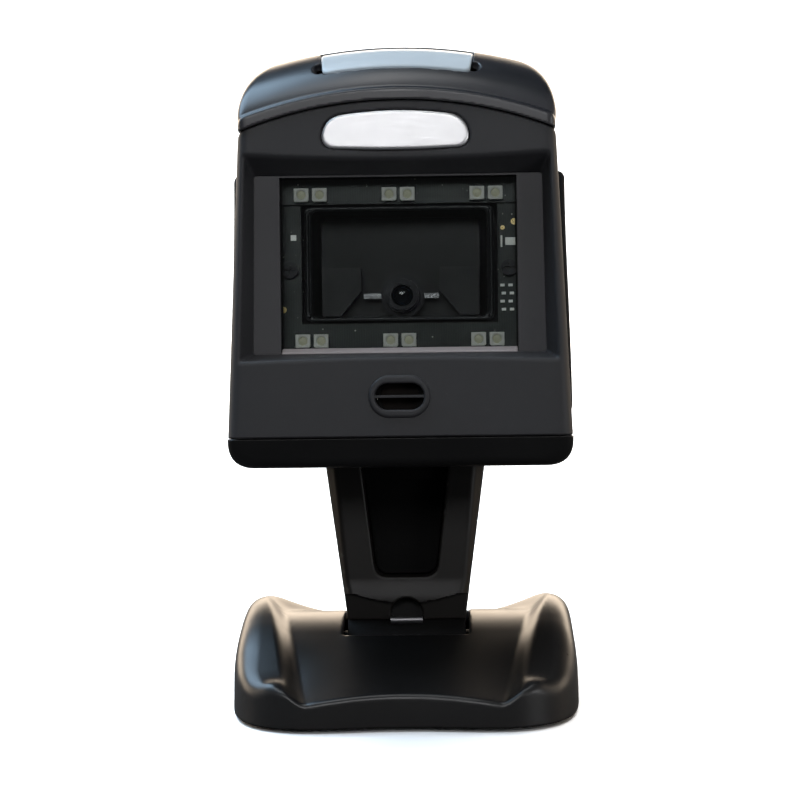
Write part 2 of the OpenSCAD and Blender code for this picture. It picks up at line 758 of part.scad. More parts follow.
module led_row(z) {
    color([0.85, 0.84, 0.72]) head_frame()
        for (px = led_pair_x, s = [-0.5, 0.5])
            translate([px + s * led_pitch, led_board_y, z]) difference() {
                box([-led_size[0] / 2, -led_size[1], -led_size[2] / 2], [led_size[0] / 2, 0, led_size[2] / 2]);
                translate([0, -led_size[1] - 1, 0]) rotate([-90, 0, 0]) cylinder(h = 1.5, r = 1.2, $fn = 24);
            }
}

module led_board_upper() { led_strip_board(baffle_hi + 0.3, 68.4); }
module led_board_lower() { led_strip_board(26.2, baffle_lo - 0.3); }
module leds_upper() { led_row(led_row_hi); }
module leds_lower() { led_row(led_row_lo); }

// Board behind the window's side margins, with the opening for the imager's baffle
carrier_screw = [25.8, 46.5];
module carrier_board() {
    color([0.04, 0.1, 0.08]) head_frame() difference() {
        box([-31, carrier_y, 25], [31, carrier_y + board_t, 69]);
        box([-baffle_hw - 0.6, 0, baffle_lo - 0.4], [baffle_hw + 0.6, 40, baffle_hi + 0.4]);
        for (sx = [-1, 1]) rod_y(sx * carrier_screw[0], carrier_screw[1], 1.3, 0, 40, 24);
    }
}

module carrier_parts() {
    color([0.75, 0.75, 0.72]) head_frame() {
        for (row = [0:3], i = [0:1])
            translate([24.2 + i * 1.9 + (row % 2) * 0.3, carrier_y, 42.4 - row * 1.9])
                box([-0.5, -0.5, -0.3], [0.5, 0, 0.3]);
        box([23.9, carrier_y - 0.7, 51.4], [24.3, carrier_y, 54.1]);
        box([25, carrier_y - 0.9, 51.8], [28, carrier_y, 53.6]);
        for (p = [[-25, 54.2], [-28.8, 54.2]])
            translate([p[0], carrier_y, p[1]]) box([-0.65, -0.4, -0.65], [0.65, 0, 0.65]);
    }
}

module carrier_pads() {
    color([0.8, 0.66, 0.3]) head_frame()
        for (p = [[27.1, 57.4, 0.75], [24.4, 56, 0.5], [-27.6, 37.2, 0.75]])
            rod_y(p[0], p[1], p[2], carrier_y - 0.12, carrier_y, 24);
}

module carrier_screws() {
    color([0.09, 0.09, 0.1]) head_frame() for (sx = [-1, 1]) difference() {
        union() {
            rod_y(sx * carrier_screw[0], carrier_screw[1], 1.9, carrier_y - 1.5, carrier_y, 32);
            rod_y(sx * carrier_screw[0], carrier_screw[1], 1.0, carrier_y - 1, carrier_y + 6, 24);
        }
        for (a = [0, 90]) translate([sx * carrier_screw[0], carrier_y - 1.5, carrier_screw[1]])
            rotate([0, a, 0]) box([-1.1, -0.1, -0.2], [1.1, 0.6, 0.2]);
    }
}

// Pillars that carry the carrier board off the decoder board, and that board off the panel
module board_standoffs() {
    color([0.2, 0.2, 0.2]) head_frame() for (sx = [-1, 1]) {
        difference() {
            rod_y(sx * carrier_screw[0], carrier_screw[1], 2.2, carrier_y + board_t, decoder_y, 32);
            rod_y(sx * carrier_screw[0], carrier_screw[1], 1.05, carrier_y, carrier_y + 9, 24);
        }
        for (z = panel_screw_z) difference() {
            rod_y(sx * 25, z, 2.5, decoder_y + 1.4, head_depth - 2.5, 32);
            rod_y(sx * 25, z, 1.1, head_depth - 9, head_depth, 24);
        }
    }
}

// Dark light box that keeps the LEDs' glare off the lens
module imager_baffle() {
    y0 = 12.6;
    y1 = 23.8;
    module sleeve(g) {
        hull() {
            box([-baffle_hw + 0.2 - g, y0 - (g == 0 ? 0 : 0.1), baffle_lo + 0.2 - g * 0.7],
                [baffle_hw - 0.2 + g, y0 + 0.01, baffle_hi - 0.2 + g * 0.7]);
            box([-baffle_hw + 2 - g, y1 - 0.01, baffle_lo + 0.6 - g * 0.7],
                [baffle_hw - 2 + g, y1 + (g == 0 ? 0 : 0.1), baffle_hi - 1.5 + g * 0.7]);
        }
    }
    color([0.05, 0.05, 0.055]) head_frame() difference() {
        sleeve(0);
        sleeve(-0.9);
    }
}

// Moulded chassis behind the baffle: lens seat and two chamfered blocks
chassis_y = 23.8;
module imager_chassis() {
    color([0.06, 0.06, 0.065]) head_frame() difference() {
        union() {
            box([-23.2, chassis_y, 31], [23.2, chassis_y + 2, 64]);
            for (sx = [-1, 1]) box([sx * 16.2 - 1.2, chassis_y + 1, 32], [sx * 16.2 + 1.2, sensor_y + 1.1, 62]);
            for (sx = [-1, 1]) prism_y(sx > 0 ? chassis_block(1) : chassis_block(-1), chassis_y - 4, chassis_y);
            rod_y(lens_at[0], lens_at[1], 5, chassis_y - 2.5, chassis_y + 2);
        }
        rod_y(lens_at[0], lens_at[1], 4.05, chassis_y - 5, chassis_y + 5);
    }
}

function chassis_block(s) = [[s * 9.4, 47.2], [s * 18.6, 47.2], [s * 18.6, 35.7], [s * 14.2, 35.7],
                             [s * 9.2, 41.8]];

module lens_barrel() {
    color([0.05, 0.05, 0.05]) head_frame() difference() {
        union() {
            rod_y(lens_at[0], lens_at[1], 4, chassis_y - 5, chassis_y + 3.4);
            rod_y(lens_at[0], lens_at[1], 3.5, chassis_y - 6.4, chassis_y);
        }
        rod_y(lens_at[0], lens_at[1], 2.6, chassis_y - 7, chassis_y - 4.4);
        rod_y(lens_at[0], lens_at[1], 2, chassis_y - 7, chassis_y + 4);
    }
}

module lens_element() {
    color([0.3, 0.35, 0.4, 0.5]) head_frame()
        translate([lens_at[0], chassis_y - 4.4, lens_at[1]]) rotate([90, 0, 0])
            rotate_extrude($fn = 48) polygon(concat([[0, 0], [2.55, 0], [2.55, 0.5]],
                [for (i = [1:8]) let (x = 2.55 * (1 - i / 8)) [x, 0.5 + 0.7 * (1 - pow(x / 2.55, 2))]]));
}

// Sprung steel clip that holds the lens barrel in its seat
module lens_clip() {
    y0 = chassis_y - 3;
    color([0.7, 0.7, 0.7]) head_frame() difference() {
        union() {
            rod_y(lens_at[0], lens_at[1], 5.2, y0, y0 + 0.5);
            box([-8.8, y0, lens_at[1] - 0.6], [9.1, y0 + 0.5, lens_at[1] + 0.6]);
        }
        rod_y(lens_at[0], lens_at[1], 4.1, y0 - 1, y0 + 2);
    }
}

sensor_y = chassis_y + 4.4;
module imager_board() {
    color(pcb_green) head_frame() box([-18, sensor_y + 1.1, 32], [18, sensor_y + 1.1 + board_t, 62]);
}

module image_sensor() {
    color([0.3, 0.3, 0.34]) head_frame()
        translate([lens_at[0], 0, lens_at[1]]) box([-4.5, sensor_y, -3.5], [4.5, sensor_y + 1.1, 3.5]);
}

decoder_y = 36;
module decoder_board() {
    color(pcb_green) head_frame() box([-28, decoder_y, 16], [28, decoder_y + 1.4, 74]);
}

module decoder_chips() {
    color([0.08, 0.08, 0.09]) head_frame() {
        box([-8, decoder_y - 1.4, 36], [6, decoder_y, 50]);
        box([10, decoder_y - 1.1, 38], [20, decoder_y, 48]);
        box([-22, decoder_y - 1.1, 54], [-10, decoder_y, 62]);
        box([-4, decoder_y - 2.2, 20], [3, decoder_y, 26]);
    }
}

// Board-to-board connector between the sensor board and the decoder board
module board_link() {
    color([0.85, 0.82, 0.7]) head_frame()
        box([-9, sensor_y + 1.1 + board_t, 54], [9, decoder_y, 57.5]);
}

jack_hw = 6.6;
jack_z0 = 18;
jack_z1 = 29.6;
jack_y0 = decoder_y + 1.4;
jack_y1 = head_depth - 2.8;
module interface_jack() {
    color([0.08, 0.08, 0.085]) head_frame() difference() {
        box([-jack_hw, jack_y0, jack_z0], [jack_hw, jack_y1, jack_z1]);
        box([-jack_hw + 0.9, jack_y0 + 1.4, jack_z0 + 1.9], [jack_hw - 0.9, jack_y1 + 1, jack_z1 - 1.6]);
        box([-2.6, jack_y0 + 3, jack_z0 + 0.8], [2.6, jack_y1 + 1, jack_z1 - 2]);
    }
}

module jack_contacts() {
    color([0.8, 0.66, 0.3]) head_frame() for (i = [0:9])
        translate([(i - 4.5) * 1.02, 0, 0])
            box([-0.2, jack_y0 + 1.4, jack_z1 - 2.3], [0.2, jack_y1 - 2, jack_z1 - 1.6]);
}

// ---------------------------------------------------------------- top button

button_board_z = 86;
switch_y = 18.5;
spring_x = 13;
spring_r = 1.7;
spring_wire = 0.25;
spring_turns = 5;
button_drop = 2.4;

module button_board() {
    color(pcb_green) head_frame() box([-18, 10, button_board_z], [18, 28, button_board_z + 1.2]);
}

module button_switch() {
    z0 = button_board_z + 1.2;
    color([0.12, 0.12, 0.12]) head_frame() difference() {
        translate([0, switch_y, z0]) box([-3, -3, 0], [3, 3, 3.5]);
        translate([0, switch_y, z0 + 1]) cylinder(h = 5, r = 1.85, $fn = 32);
    }
}

module switch_plunger() {
    z0 = button_board_z + 2.2 + button_travel + 0.2;
    color([0.75, 0.2, 0.15]) head_frame() translate([0, switch_y, z0])
        cylinder(h = stem_z - z0, r = 1.7, $fn = 32);
}

module button_leds() {
    color([0.9, 0.9, 0.85]) head_frame() for (sx = [-1, 1])
        translate([sx * 8, switch_y, button_board_z + 1.2]) box([-1.6, -1.4, 0], [1.6, 1.4, 1.8]);
}

// Helix swept as a closed tube of n sides
module coil(r, wire, height, turns, per_turn = 14, n = 6) {
    total = turns * per_turn;
    ring = function (i) let (a = 360 * i / per_turn, z = wire + (height - 2 * wire) * i / total)
        [for (k = [0:n - 1]) let (b = 360 * k / n, rr = r + wire * cos(b))
            [rr * cos(a), rr * sin(a), z + wire * sin(b)]];
    points = [for (i = [0:total]) each ring(i)];
    sides = [for (i = [0:total - 1], k = [0:n - 1]) let (a = i * n + k, b = i * n + (k + 1) % n)
        each [[a, b, b + n], [a, b + n, a + n]]];
    ends = [[for (k = [0:n - 1]) n - 1 - k], [for (k = [0:n - 1]) total * n + k]];
    polyhedron(points, concat(sides, ends));
}

spring_z0 = button_board_z + 1.25;
spring_z1 = 95.8;
module button_springs() {
    color([0.7, 0.7, 0.72]) head_frame() for (sx = [-1, 1])
        translate([sx * spring_x, switch_y, spring_z0])
            coil(spring_r, spring_wire, spring_z1 - spring_z0, spring_turns);
}

// Translucent bar that is both light pipe and button, with a stem down to the switch
stem_z = 93.4;
module top_button() {
    color([0.62, 0.7, 0.74, 0.8]) head_frame() {
        arched(concat([for (i = [0:10]) let (y = button_y0 + (button_y1 - button_y0) * i / 10)
                           [dome_r(y) + 0.25, y]],
                      [for (i = [10:-1:0]) let (y = button_y0 + (button_y1 - button_y0) * i / 10)
                           [dome_r(y) - button_drop, y]]), button_half_angle - 0.05);
        box([-2, switch_y - 2, stem_z], [2, switch_y + 2, dome_r(switch_y) + arch_c - 1]);
    }
}

base_shell();
base_plate();
ballast_plate();
rubber_feet();
base_screws();
counter_inserts();
pivot_bracket();
bracket_screws();
tilt_axle();
axle_clips();
friction_washers();
foot_drum();
cross_pin();
column_shell();
column_cover();
column_screws();
neck_tongue();
neck_screws();
front_bezel();
rear_housing();
rear_panel();
side_grips();
top_cap();
housing_screws();
badge();
beeper_grille();
beeper_can();
beeper_disc();
window_shroud();
window_glass();
window_gasket();
led_board_upper();
led_board_lower();
leds_upper();
leds_lower();
carrier_board();
carrier_parts();
carrier_pads();
carrier_screws();
board_standoffs();
imager_baffle();
imager_chassis();
lens_barrel();
lens_element();
lens_clip();
imager_board();
image_sensor();
decoder_board();
decoder_chips();
board_link();
interface_jack();
jack_contacts();
button_board();
button_switch();
button_leds();
button_springs();
top_button();
switch_plunger();
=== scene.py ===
import bpy, math
import numpy as np
from mathutils import Matrix, Vector

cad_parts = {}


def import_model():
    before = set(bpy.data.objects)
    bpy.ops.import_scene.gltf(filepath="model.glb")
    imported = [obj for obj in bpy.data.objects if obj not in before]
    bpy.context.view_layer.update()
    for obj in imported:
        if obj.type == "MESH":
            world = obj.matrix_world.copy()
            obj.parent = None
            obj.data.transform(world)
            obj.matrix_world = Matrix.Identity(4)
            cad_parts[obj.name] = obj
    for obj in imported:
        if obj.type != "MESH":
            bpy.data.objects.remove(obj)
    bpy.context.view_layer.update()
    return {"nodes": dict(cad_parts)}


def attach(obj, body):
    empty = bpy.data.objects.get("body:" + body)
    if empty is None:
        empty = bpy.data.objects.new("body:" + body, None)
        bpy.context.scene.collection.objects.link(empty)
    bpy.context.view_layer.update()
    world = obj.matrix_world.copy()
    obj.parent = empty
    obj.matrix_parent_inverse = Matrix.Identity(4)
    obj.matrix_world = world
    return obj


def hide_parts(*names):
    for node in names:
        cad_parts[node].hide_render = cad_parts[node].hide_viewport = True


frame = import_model()
nodes = frame["nodes"]
MM = 0.001
PER_MM = 1000.0  # object space is in metres, and the textures are scaled in millimetres

# ------------------------------------------------------------------ frames (millimetres)
LEAN = math.radians(7)
PIVOT = np.array([0, 1.0, 10.0])
HEAD = np.array([0, -45.1, 46.4])
CL, SL = math.cos(LEAN), math.sin(LEAN)
TILT = np.array([[1, 0, 0], [0, CL, SL], [0, -SL, CL]])


def world(p):
    return p


def stand(p):
    return p @ TILT.T + PIVOT


def head(p):
    return (p + HEAD) @ TILT.T + PIVOT


# ------------------------------------------------------------------ fields (millimetres)
def smin(a, b, k):
    h = np.clip(0.5 + 0.5 * (b - a) / k, 0, 1)
    return b + (a - b) * h - k * h * (1 - h)


def smax(a, b, k):
    return -smin(-a, -b, k)


def step(t):
    t = np.clip(t, 0, 1)
    return t * t * (3 - 2 * t)


def rbox(x, y, z, lo, hi, r):
    q = [np.abs(v - (a + b) / 2) - ((b - a) / 2 - r) for v, a, b in zip((x, y, z), lo, hi)]
    out = np.sqrt(sum(np.maximum(a, 0) ** 2 for a in q))
    return out + np.minimum(np.maximum(np.maximum(q[0], q[1]), q[2]), 0) - r


def stadium(x, z, cx, cz, hw, hh):
    return np.hypot(np.maximum(np.abs(x - cx) - (hw - hh), 0), z - cz) - hh


OUTSIDE = 0.01  # the least value on the grid's border, so that every surface closes
PULLS = 4  # steps towards the surface
AGREE = 0.7  # least cosine between the field's normal and the mesh's


def field_mesh(name, f, lo, hi, h, mat, place=world, keep=0.4):
    """The zero surface of f as a mesh: surface nets, then the points pulled on to the surface."""
    lo = np.array(lo, float)
    n = np.ceil((np.array(hi, float) - lo) / h).astype(int) + 1
    ax = [lo[i] + h * np.arange(n[i]) for i in range(3)]
    grid = f(ax[0][:, None, None], ax[1][None, :, None], ax[2][None, None, :])
    val = np.broadcast_to(grid, tuple(n)).copy()
    for a in range(3):
        for e in (0, -1):
            s = [slice(None)] * 3
            s[a] = e
            val[tuple(s)] = np.maximum(val[tuple(s)], OUTSIDE)
    acc = np.zeros(tuple(n - 1) + (3,))
    cnt = np.zeros(tuple(n - 1))
    rings = []
    for a in range(3):
        b, c = (a + 1) % 3, (a + 2) % 3
        s0, s1 = [slice(None)] * 3, [slice(None)] * 3
        s0[a], s1[a] = slice(0, -1), slice(1, None)
        cut = np.argwhere((val[tuple(s0)] < 0) != (val[tuple(s1)] < 0))
        nxt = cut.copy()
        nxt[:, a] += 1
        va, vb = val[tuple(cut.T)], val[tuple(nxt.T)]
        at = lo + h * cut
        at[:, a] += h * va / (va - vb)
        ring = []
        for db, dc in ((-1, -1), (0, -1), (0, 0), (-1, 0)):
            k = cut.copy()
            k[:, b] += db
            k[:, c] += dc
            ring.append(k)
            np.add.at(acc, tuple(k.T), at)
            np.add.at(cnt, tuple(k.T), 1)
        rings.append((ring, va > 0))
    ids = np.full(cnt.shape, -1)
    used = cnt > 0
    ids[used] = np.arange(used.sum())
    pts = acc[used] / cnt[used][:, None]
    faces = []
    for ring, flip in rings:
        q = np.stack([ids[tuple(k.T)] for k in ring], 1)
        faces.append(np.where(flip[:, None], q[:, ::-1], q))
    faces = np.concatenate(faces)

    def value(p):
        return f(p[:, 0], p[:, 1], p[:, 2])

    def slope(p, e=0.02):
        return np.stack([(value(p + d) - value(p - d)) / (2 * e) for d in np.eye(3) * e], 1)

    start = pts.copy()
    for _ in range(PULLS):
        g = slope(pts)
        move = value(pts) / np.maximum((g * g).sum(1), 0.05)
        pts = pts - g * np.clip(move, -0.5 * h, 0.5 * h)[:, None]
        off = pts - start
        far = np.linalg.norm(off, axis=1)
        pts = start + off * np.minimum(1, 0.9 * h / np.maximum(far, 1e-9))[:, None]
    me = bpy.data.meshes.new(name)
    me.from_pydata((place(pts) * MM).tolist(), [], faces.tolist())
    me.validate()
    ob = bpy.data.objects.new(name, me)
    bpy.context.scene.collection.objects.link(ob)
    if keep < 1:
        m = ob.modifiers.new("thin", "DECIMATE")
        m.ratio = keep
        dg = bpy.context.evaluated_depsgraph_get()
        new = bpy.data.meshes.new_from_object(ob.evaluated_get(dg))
        ob.modifiers.clear()
        ob.data = new
        bpy.data.meshes.remove(me)
        me = new
    co = np.empty(len(me.vertices) * 3)
    me.vertices.foreach_get("co", co)
    co = co.reshape(-1, 3) / MM
    inv = np.eye(3) if place is world else TILT
    org = np.zeros(3) if place is world else PIVOT
    off = HEAD if place is head else np.zeros(3)
    local = (co - org) @ inv - off
    g = slope(local, 0.04)
    g /= np.maximum(np.linalg.norm(g, axis=1), 1e-9)[:, None]
    g = g @ inv.T
    vn = np.empty(len(me.vertices) * 3)
    me.vertices.foreach_get("normal", vn)
    vn = vn.reshape(-1, 3)
    odd = (g * vn).sum(1) < AGREE
    g[odd] = vn[odd]
    me.shade_smooth()
    me.normals_split_custom_set_from_vertices(g.tolist())
    me.materials.append(mat)
    return ob


# ------------------------------------------------------------------ materials
def node_mat(name):
    m = bpy.data.materials.new(name)
    m.use_nodes = True
    t = m.node_tree
    b = t.nodes["Principled BSDF"]
    return m, t, b


def link(t, a, b):
    t.links.new(a, b)


def coords(t, scale=1.0):
    c = t.nodes.new("ShaderNodeTexCoord")
    m = t.nodes.new("ShaderNodeMapping")
    m.inputs["Scale"].default_value = (scale, scale, scale)
    link(t, c.outputs["Object"], m.inputs["Vector"])
    return m.outputs["Vector"]


def noise(t, vec, scale, detail=3.0, rough=0.5):
    n = t.nodes.new("ShaderNodeTexNoise")
    n.inputs["Scale"].default_value = scale
    n.inputs["Detail"].default_value = detail
    n.inputs["Roughness"].default_value = rough
    link(t, vec, n.inputs["Vector"])
    return n.outputs["Fac"]


def mapped(t, src, a, b, c, d):
    m = t.nodes.new("ShaderNodeMapRange")
    for k, v in zip(("From Min", "From Max", "To Min", "To Max"), (a, b, c, d)):
        m.inputs[k].default_value = v
    link(t, src, m.inputs["Value"])
    return m.outputs["Result"]


def bump(t, b, src, strength, dist):
    n = t.nodes.new("ShaderNodeBump")
    n.inputs["Strength"].default_value = strength
    n.inputs["Distance"].default_value = dist
    link(t, src, n.inputs["Height"])
    link(t, n.outputs["Normal"], b.inputs["Normal"])


def mixed(t, fac, a, b):
    m = t.nodes.new("ShaderNodeMix")
    m.data_type = "RGBA"
    link(t, fac, m.inputs[0])
    for i, v in ((6, a), (7, b)):
        if hasattr(v, "is_linked"):
            link(t, v, m.inputs[i])
        else:
            m.inputs[i].default_value = (*v, 1)
    return m.outputs[2]


def moulded(name, base, rough=0.45, grain=0.35, depth=0.25, spec=0.5, worn=(0.10, 0.10, 0.105),
            face=None):
    """Moulded plastic: fine grain, uneven sheen, dust in the grain and paler edges.

    face, if given, paints light and shade by orientation: surfaces that don't look upwards in object space
    take this colour, and surfaces that look up keep the base colour.
    """
    m, t, b = node_mat(name)
    v = coords(t, PER_MM)
    fine = noise(t, v, 1 / grain, 2.0, 0.6)
    broad = noise(t, v, 0.035, 4.0, 0.55)
    speck = noise(t, v, 1.6, 2.0, 0.7)
    patchy = mapped(t, broad, 0.3, 0.7, 0.0, 1.0)
    tone = mixed(t, patchy, [c * 0.86 for c in base], [min(1, c * 1.16) for c in base])
    dust = mapped(t, speck, 0.70, 0.82, 0.0, 0.22)
    tone = mixed(t, dust, tone, [min(1, c + 0.10) for c in base])
    geo = t.nodes.new("ShaderNodeNewGeometry")
    # Painted light and shade: the colour changes with which way the surface faces, not with the plastic.
    if face:
        up = t.nodes.new("ShaderNodeSeparateXYZ")
        link(t, t.nodes.new("ShaderNodeTexCoord").outputs["Normal"], up.inputs[0])
        tone = mixed(t, mapped(t, up.outputs["Z"], 0.3, 0.75, 1.0, 0.0), tone, face)
    wear = mapped(t, geo.outputs["Pointiness"], 0.535, 0.60, 0.0, 0.55)
    tone = mixed(t, wear, tone, worn)
    link(t, tone, b.inputs["Base Color"])
    link(t, mapped(t, broad, 0.3, 0.7, rough - 0.05, rough + 0.07), b.inputs["Roughness"])
    b.inputs["Specular IOR Level"].default_value = spec
    bump(t, b, fine, depth, 0.00004)
    return m


def rubber(name, base, rough=0.75):
    m, t, b = node_mat(name)
    v = coords(t, PER_MM)
    n = noise(t, v, 1.8, 4.0, 0.7)
    broad = noise(t, v, 0.06, 3.0)
    link(t, mixed(t, broad, [c * 0.8 for c in base], [c * 1.3 for c in base]), b.inputs["Base Color"])
    link(t, mapped(t, n, 0.3, 0.7, rough - 0.06, rough + 0.1), b.inputs["Roughness"])
    b.inputs["Specular IOR Level"].default_value = 0.35
    bump(t, b, n, 0.35, 0.00006)
    return m


def metal(name, base, rough=0.3, brushed=False, scratch=0.2):
    m, t, b = node_mat(name)
    v = coords(t, PER_MM)
    if brushed:
        mp = t.nodes.new("ShaderNodeMapping")
        mp.inputs["Scale"].default_value = (0.08, 3.0, 3.0)
        link(t, v, mp.inputs["Vector"])
        n = noise(t, mp.outputs["Vector"], 2.2, 4.0, 0.65)
    else:
        n = noise(t, v, 1.2, 4.0, 0.6)
    broad = noise(t, v, 0.12, 3.0)
    tone = mixed(t, broad, [c * 0.9 for c in base], [min(1, c * 1.06) for c in base])
    link(t, tone, b.inputs["Base Color"])
    link(t, mapped(t, n, 0.25, 0.75, rough - 0.06, rough + 0.1), b.inputs["Roughness"])
    b.inputs["Metallic"].default_value = 1.0
    bump(t, b, n, scratch, 0.00002)
    return m


def board(name, base=(0.004, 0.009, 0.007), trace=(0.008, 0.018, 0.013)):
    """Circuit board: solder mask over traces, with tinned dots."""
    m, t, b = node_mat(name)
    v = coords(t, PER_MM)
    k = t.nodes.new("ShaderNodeTexVoronoi")
    k.distance = "MANHATTAN"
    k.feature = "F1"
    k.inputs["Scale"].default_value = 0.9
    link(t, v, k.inputs["Vector"])
    w = t.nodes.new("ShaderNodeTexWave")
    w.inputs["Scale"].default_value = 0.55
    w.inputs["Distortion"].default_value = 1.5
    w.inputs["Detail"].default_value = 0
    link(t, v, w.inputs["Vector"])
    lines = mapped(t, w.outputs["Fac"], 0.72, 0.8, 0.0, 1.0)
    col = mixed(t, lines, base, trace)
    d = t.nodes.new("ShaderNodeTexVoronoi")
    d.inputs["Scale"].default_value = 0.62
    link(t, v, d.inputs["Vector"])
    dots = mapped(t, d.outputs["Distance"], 0.10, 0.13, 1.0, 0.0)
    pick = mapped(t, noise(t, v, 0.25, 1.0), 0.50, 0.56, 0.0, 1.0)
    mul = t.nodes.new("ShaderNodeMath")
    mul.operation = "MULTIPLY"
    link(t, dots, mul.inputs[0])
    link(t, pick, mul.inputs[1])
    col = mixed(t, mul.outputs[0], col, (0.3, 0.31, 0.28))
    link(t, col, b.inputs["Base Color"])
    link(t, mapped(t, k.outputs["Distance"], 0.0, 0.8, 0.28, 0.42), b.inputs["Roughness"])
    bump(t, b, lines, 0.3, 0.00003)
    return m


def frosted(name, base, rough=0.3, trans=0.35):
    m, t, b = node_mat(name)
    v = coords(t, PER_MM)
    broad = noise(t, v, 0.05, 3.0)
    fine = noise(t, v, 2.6, 2.0)
    tone = mixed(t, broad, [c * 0.93 for c in base], [min(1, c * 1.05) for c in base])
    link(t, tone, b.inputs["Base Color"])
    link(t, mapped(t, broad, 0.3, 0.7, rough - 0.03, rough + 0.05), b.inputs["Roughness"])
    b.inputs["Subsurface Weight"].default_value = trans
    b.inputs["Subsurface Radius"].default_value = (0.9, 1.0, 1.1)
    b.inputs["Subsurface Scale"].default_value = 0.003
    bump(t, b, fine, 0.08, 0.00002)
    return m


def clear(name, tint=(0.95, 0.97, 0.965), rough=0.015):
    """Thin clear window: mostly see-through, with Fresnel gloss."""
    m = bpy.data.materials.new(name)
    m.use_nodes = True
    t = m.node_tree
    t.nodes.remove(t.nodes["Principled BSDF"])
    out = t.nodes["Material Output"]
    tr = t.nodes.new("ShaderNodeBsdfTransparent")
    gl = t.nodes.new("ShaderNodeBsdfGlossy")
    gl.inputs["Roughness"].default_value = rough
    fr = t.nodes.new("ShaderNodeFresnel")
    fr.inputs["IOR"].default_value = 1.5
    v = coords(t, PER_MM)
    smear = noise(t, v, 0.05, 4.0, 0.6)
    haze = mapped(t, smear, 0.35, 0.7, 0.0, 1.0)
    link(t, mixed(t, haze, tint, [c * 0.94 for c in tint]), tr.inputs["Color"])
    link(t, mapped(t, smear, 0.35, 0.7, rough, rough + 0.05), gl.inputs["Roughness"])
    mx = t.nodes.new("ShaderNodeMixShader")
    link(t, fr.outputs["Fac"], mx.inputs[0])
    link(t, tr.outputs[0], mx.inputs[1])
    link(t, gl.outputs[0], mx.inputs[2])
    link(t, mx.outputs[0], out.inputs["Surface"])
    return m


M = {
    # Foot: the lighter second colour is painted light on the walls and sides that don't face up.
    "foot": moulded("foot_satin_painted_light", (0.005, 0.0049, 0.0051), 0.33, 0.5, 0.12, 0.5, (0.03, 0.03, 0.03),
                    (0.022, 0.0215, 0.0215)),
    "plate": moulded("plate_matte", (0.02, 0.02, 0.021), 0.55, 0.4, 0.35),
    # Column: the lighter second colour is painted light on the faces that don't look up.
    "column": moulded("column_satin_painted_light", (0.0075, 0.0062, 0.0052), 0.45, 0.45, 0.2, 0.34,
                      (0.04, 0.038, 0.036)),
    # Near-black for the column's channel, its back, the neck tongue and the beeper can: painted shade inside
    # the recesses.
    "inner": moulded("recess_painted_shade", (0.0018, 0.0018, 0.0018), 0.7, 0.4, 0.2, 0.12, (0.003, 0.003, 0.003)),
    "drum": moulded("drum_black", (0.0035, 0.0035, 0.0035), 0.55, 0.4, 0.2, 0.2, (0.008, 0.008, 0.008)),
    "bezel": moulded("bezel_grain", (0.029, 0.0295, 0.0325), 0.55, 0.33, 0.4, 0.45, (0.03, 0.03, 0.033)),
    "housing": moulded("housing_grain", (0.0045, 0.0043, 0.0042), 0.46, 0.33, 0.35, 0.45,
                       (0.022, 0.022, 0.024)),
    # Cap: the lighter second colour is painted light on the rim band and the other faces that don't look up.
    "cap": moulded("cap_satin_painted_light", (0.0065, 0.007, 0.0085), 0.30, 0.5, 0.1, 0.5, (0.05, 0.05, 0.052),
                   (0.045, 0.045, 0.049)),
    "shroud": moulded("shroud_grain", (0.05, 0.05, 0.054), 0.5, 0.3, 0.3, 0.45, (0.05, 0.05, 0.055)),
    "grip": rubber("grip_soft", (0.008, 0.008, 0.009)),
    "feet": rubber("feet_rubber", (0.012, 0.012, 0.012)),
    "gasket": rubber("gasket_foam", (0.006, 0.006, 0.006), 0.85),
    # Baffle: one part in two colours, the lighter rim colour on its front faces as painted light and the
    # darker one on its deep faces as painted shade.
    "baffle": moulded("baffle_deep_painted_shade", (0.006, 0.006, 0.0065), 0.5, 0.4, 0.2, 0.4, (0.03, 0.03, 0.032)),
    "rim": moulded("baffle_front_painted_light", (0.03, 0.032, 0.034), 0.36, 0.4, 0.15, 0.5, (0.08, 0.08, 0.085)),
    "black": moulded("black_plastic", (0.01, 0.01, 0.01), 0.45, 0.4, 0.2),
    "badge": metal("badge_silver", (0.95, 0.95, 0.96), 0.42, True, 0.15),
    "steel": metal("zinc_steel", (0.48, 0.48, 0.5), 0.32),
    "plate_steel": metal("plate_steel", (0.42, 0.42, 0.43), 0.42, True, 0.3),
    "bright": metal("bright_steel", (0.74, 0.74, 0.76), 0.18),
    "pin": metal("pin_steel", (0.3, 0.3, 0.31), 0.42),
    # Near-black steel for the bracket, axle and clips: darkened so the slot's ends read as painted shade.
    "dark_steel": metal("dark_steel_painted_shade", (0.09, 0.09, 0.1), 0.35),
    "brass": metal("brass", (0.62, 0.46, 0.2), 0.3),
    "gold": metal("gold_flash", (0.78, 0.6, 0.28), 0.28),
    # The beeper disc is near-black with a faint brown tint: painted shade behind the grille's slots.
    "beeper": moulded("beeper_disc_painted_shade", (0.005, 0.003, 0.0018), 0.6, 0.4, 0.2, 0.12, (0.005, 0.003, 0.002)),
    "lens": metal("lens_anodised", (0.03, 0.03, 0.032), 0.38),
    "pcb": board("circuit_board"),
    "glass": clear("window_clear"),
    "optic": clear("lens_coating", (0.5, 0.6, 0.72), 0.01),
    "bar": frosted("bar_frosted", (0.24, 0.275, 0.30)),
    "led": frosted("led_white", (0.93, 0.93, 0.86), 0.42, 0.1),
    "phosphor": frosted("led_phosphor", (0.72, 0.71, 0.52), 0.3, 0.1),
    "cream": frosted("connector_cream", (0.6, 0.56, 0.44), 0.45, 0.1),
    "smd": metal("tinned_parts", (0.6, 0.6, 0.57), 0.45),
    "red": moulded("plunger_red", (0.35, 0.05, 0.04), 0.4, 0.4, 0.2),
    "sill": frosted("window_edge", (0.36, 0.33, 0.335), 0.3, 0.2),
    "sensor": moulded("sensor_window", (0.05, 0.05, 0.07), 0.2, 0.4, 0.05),
}

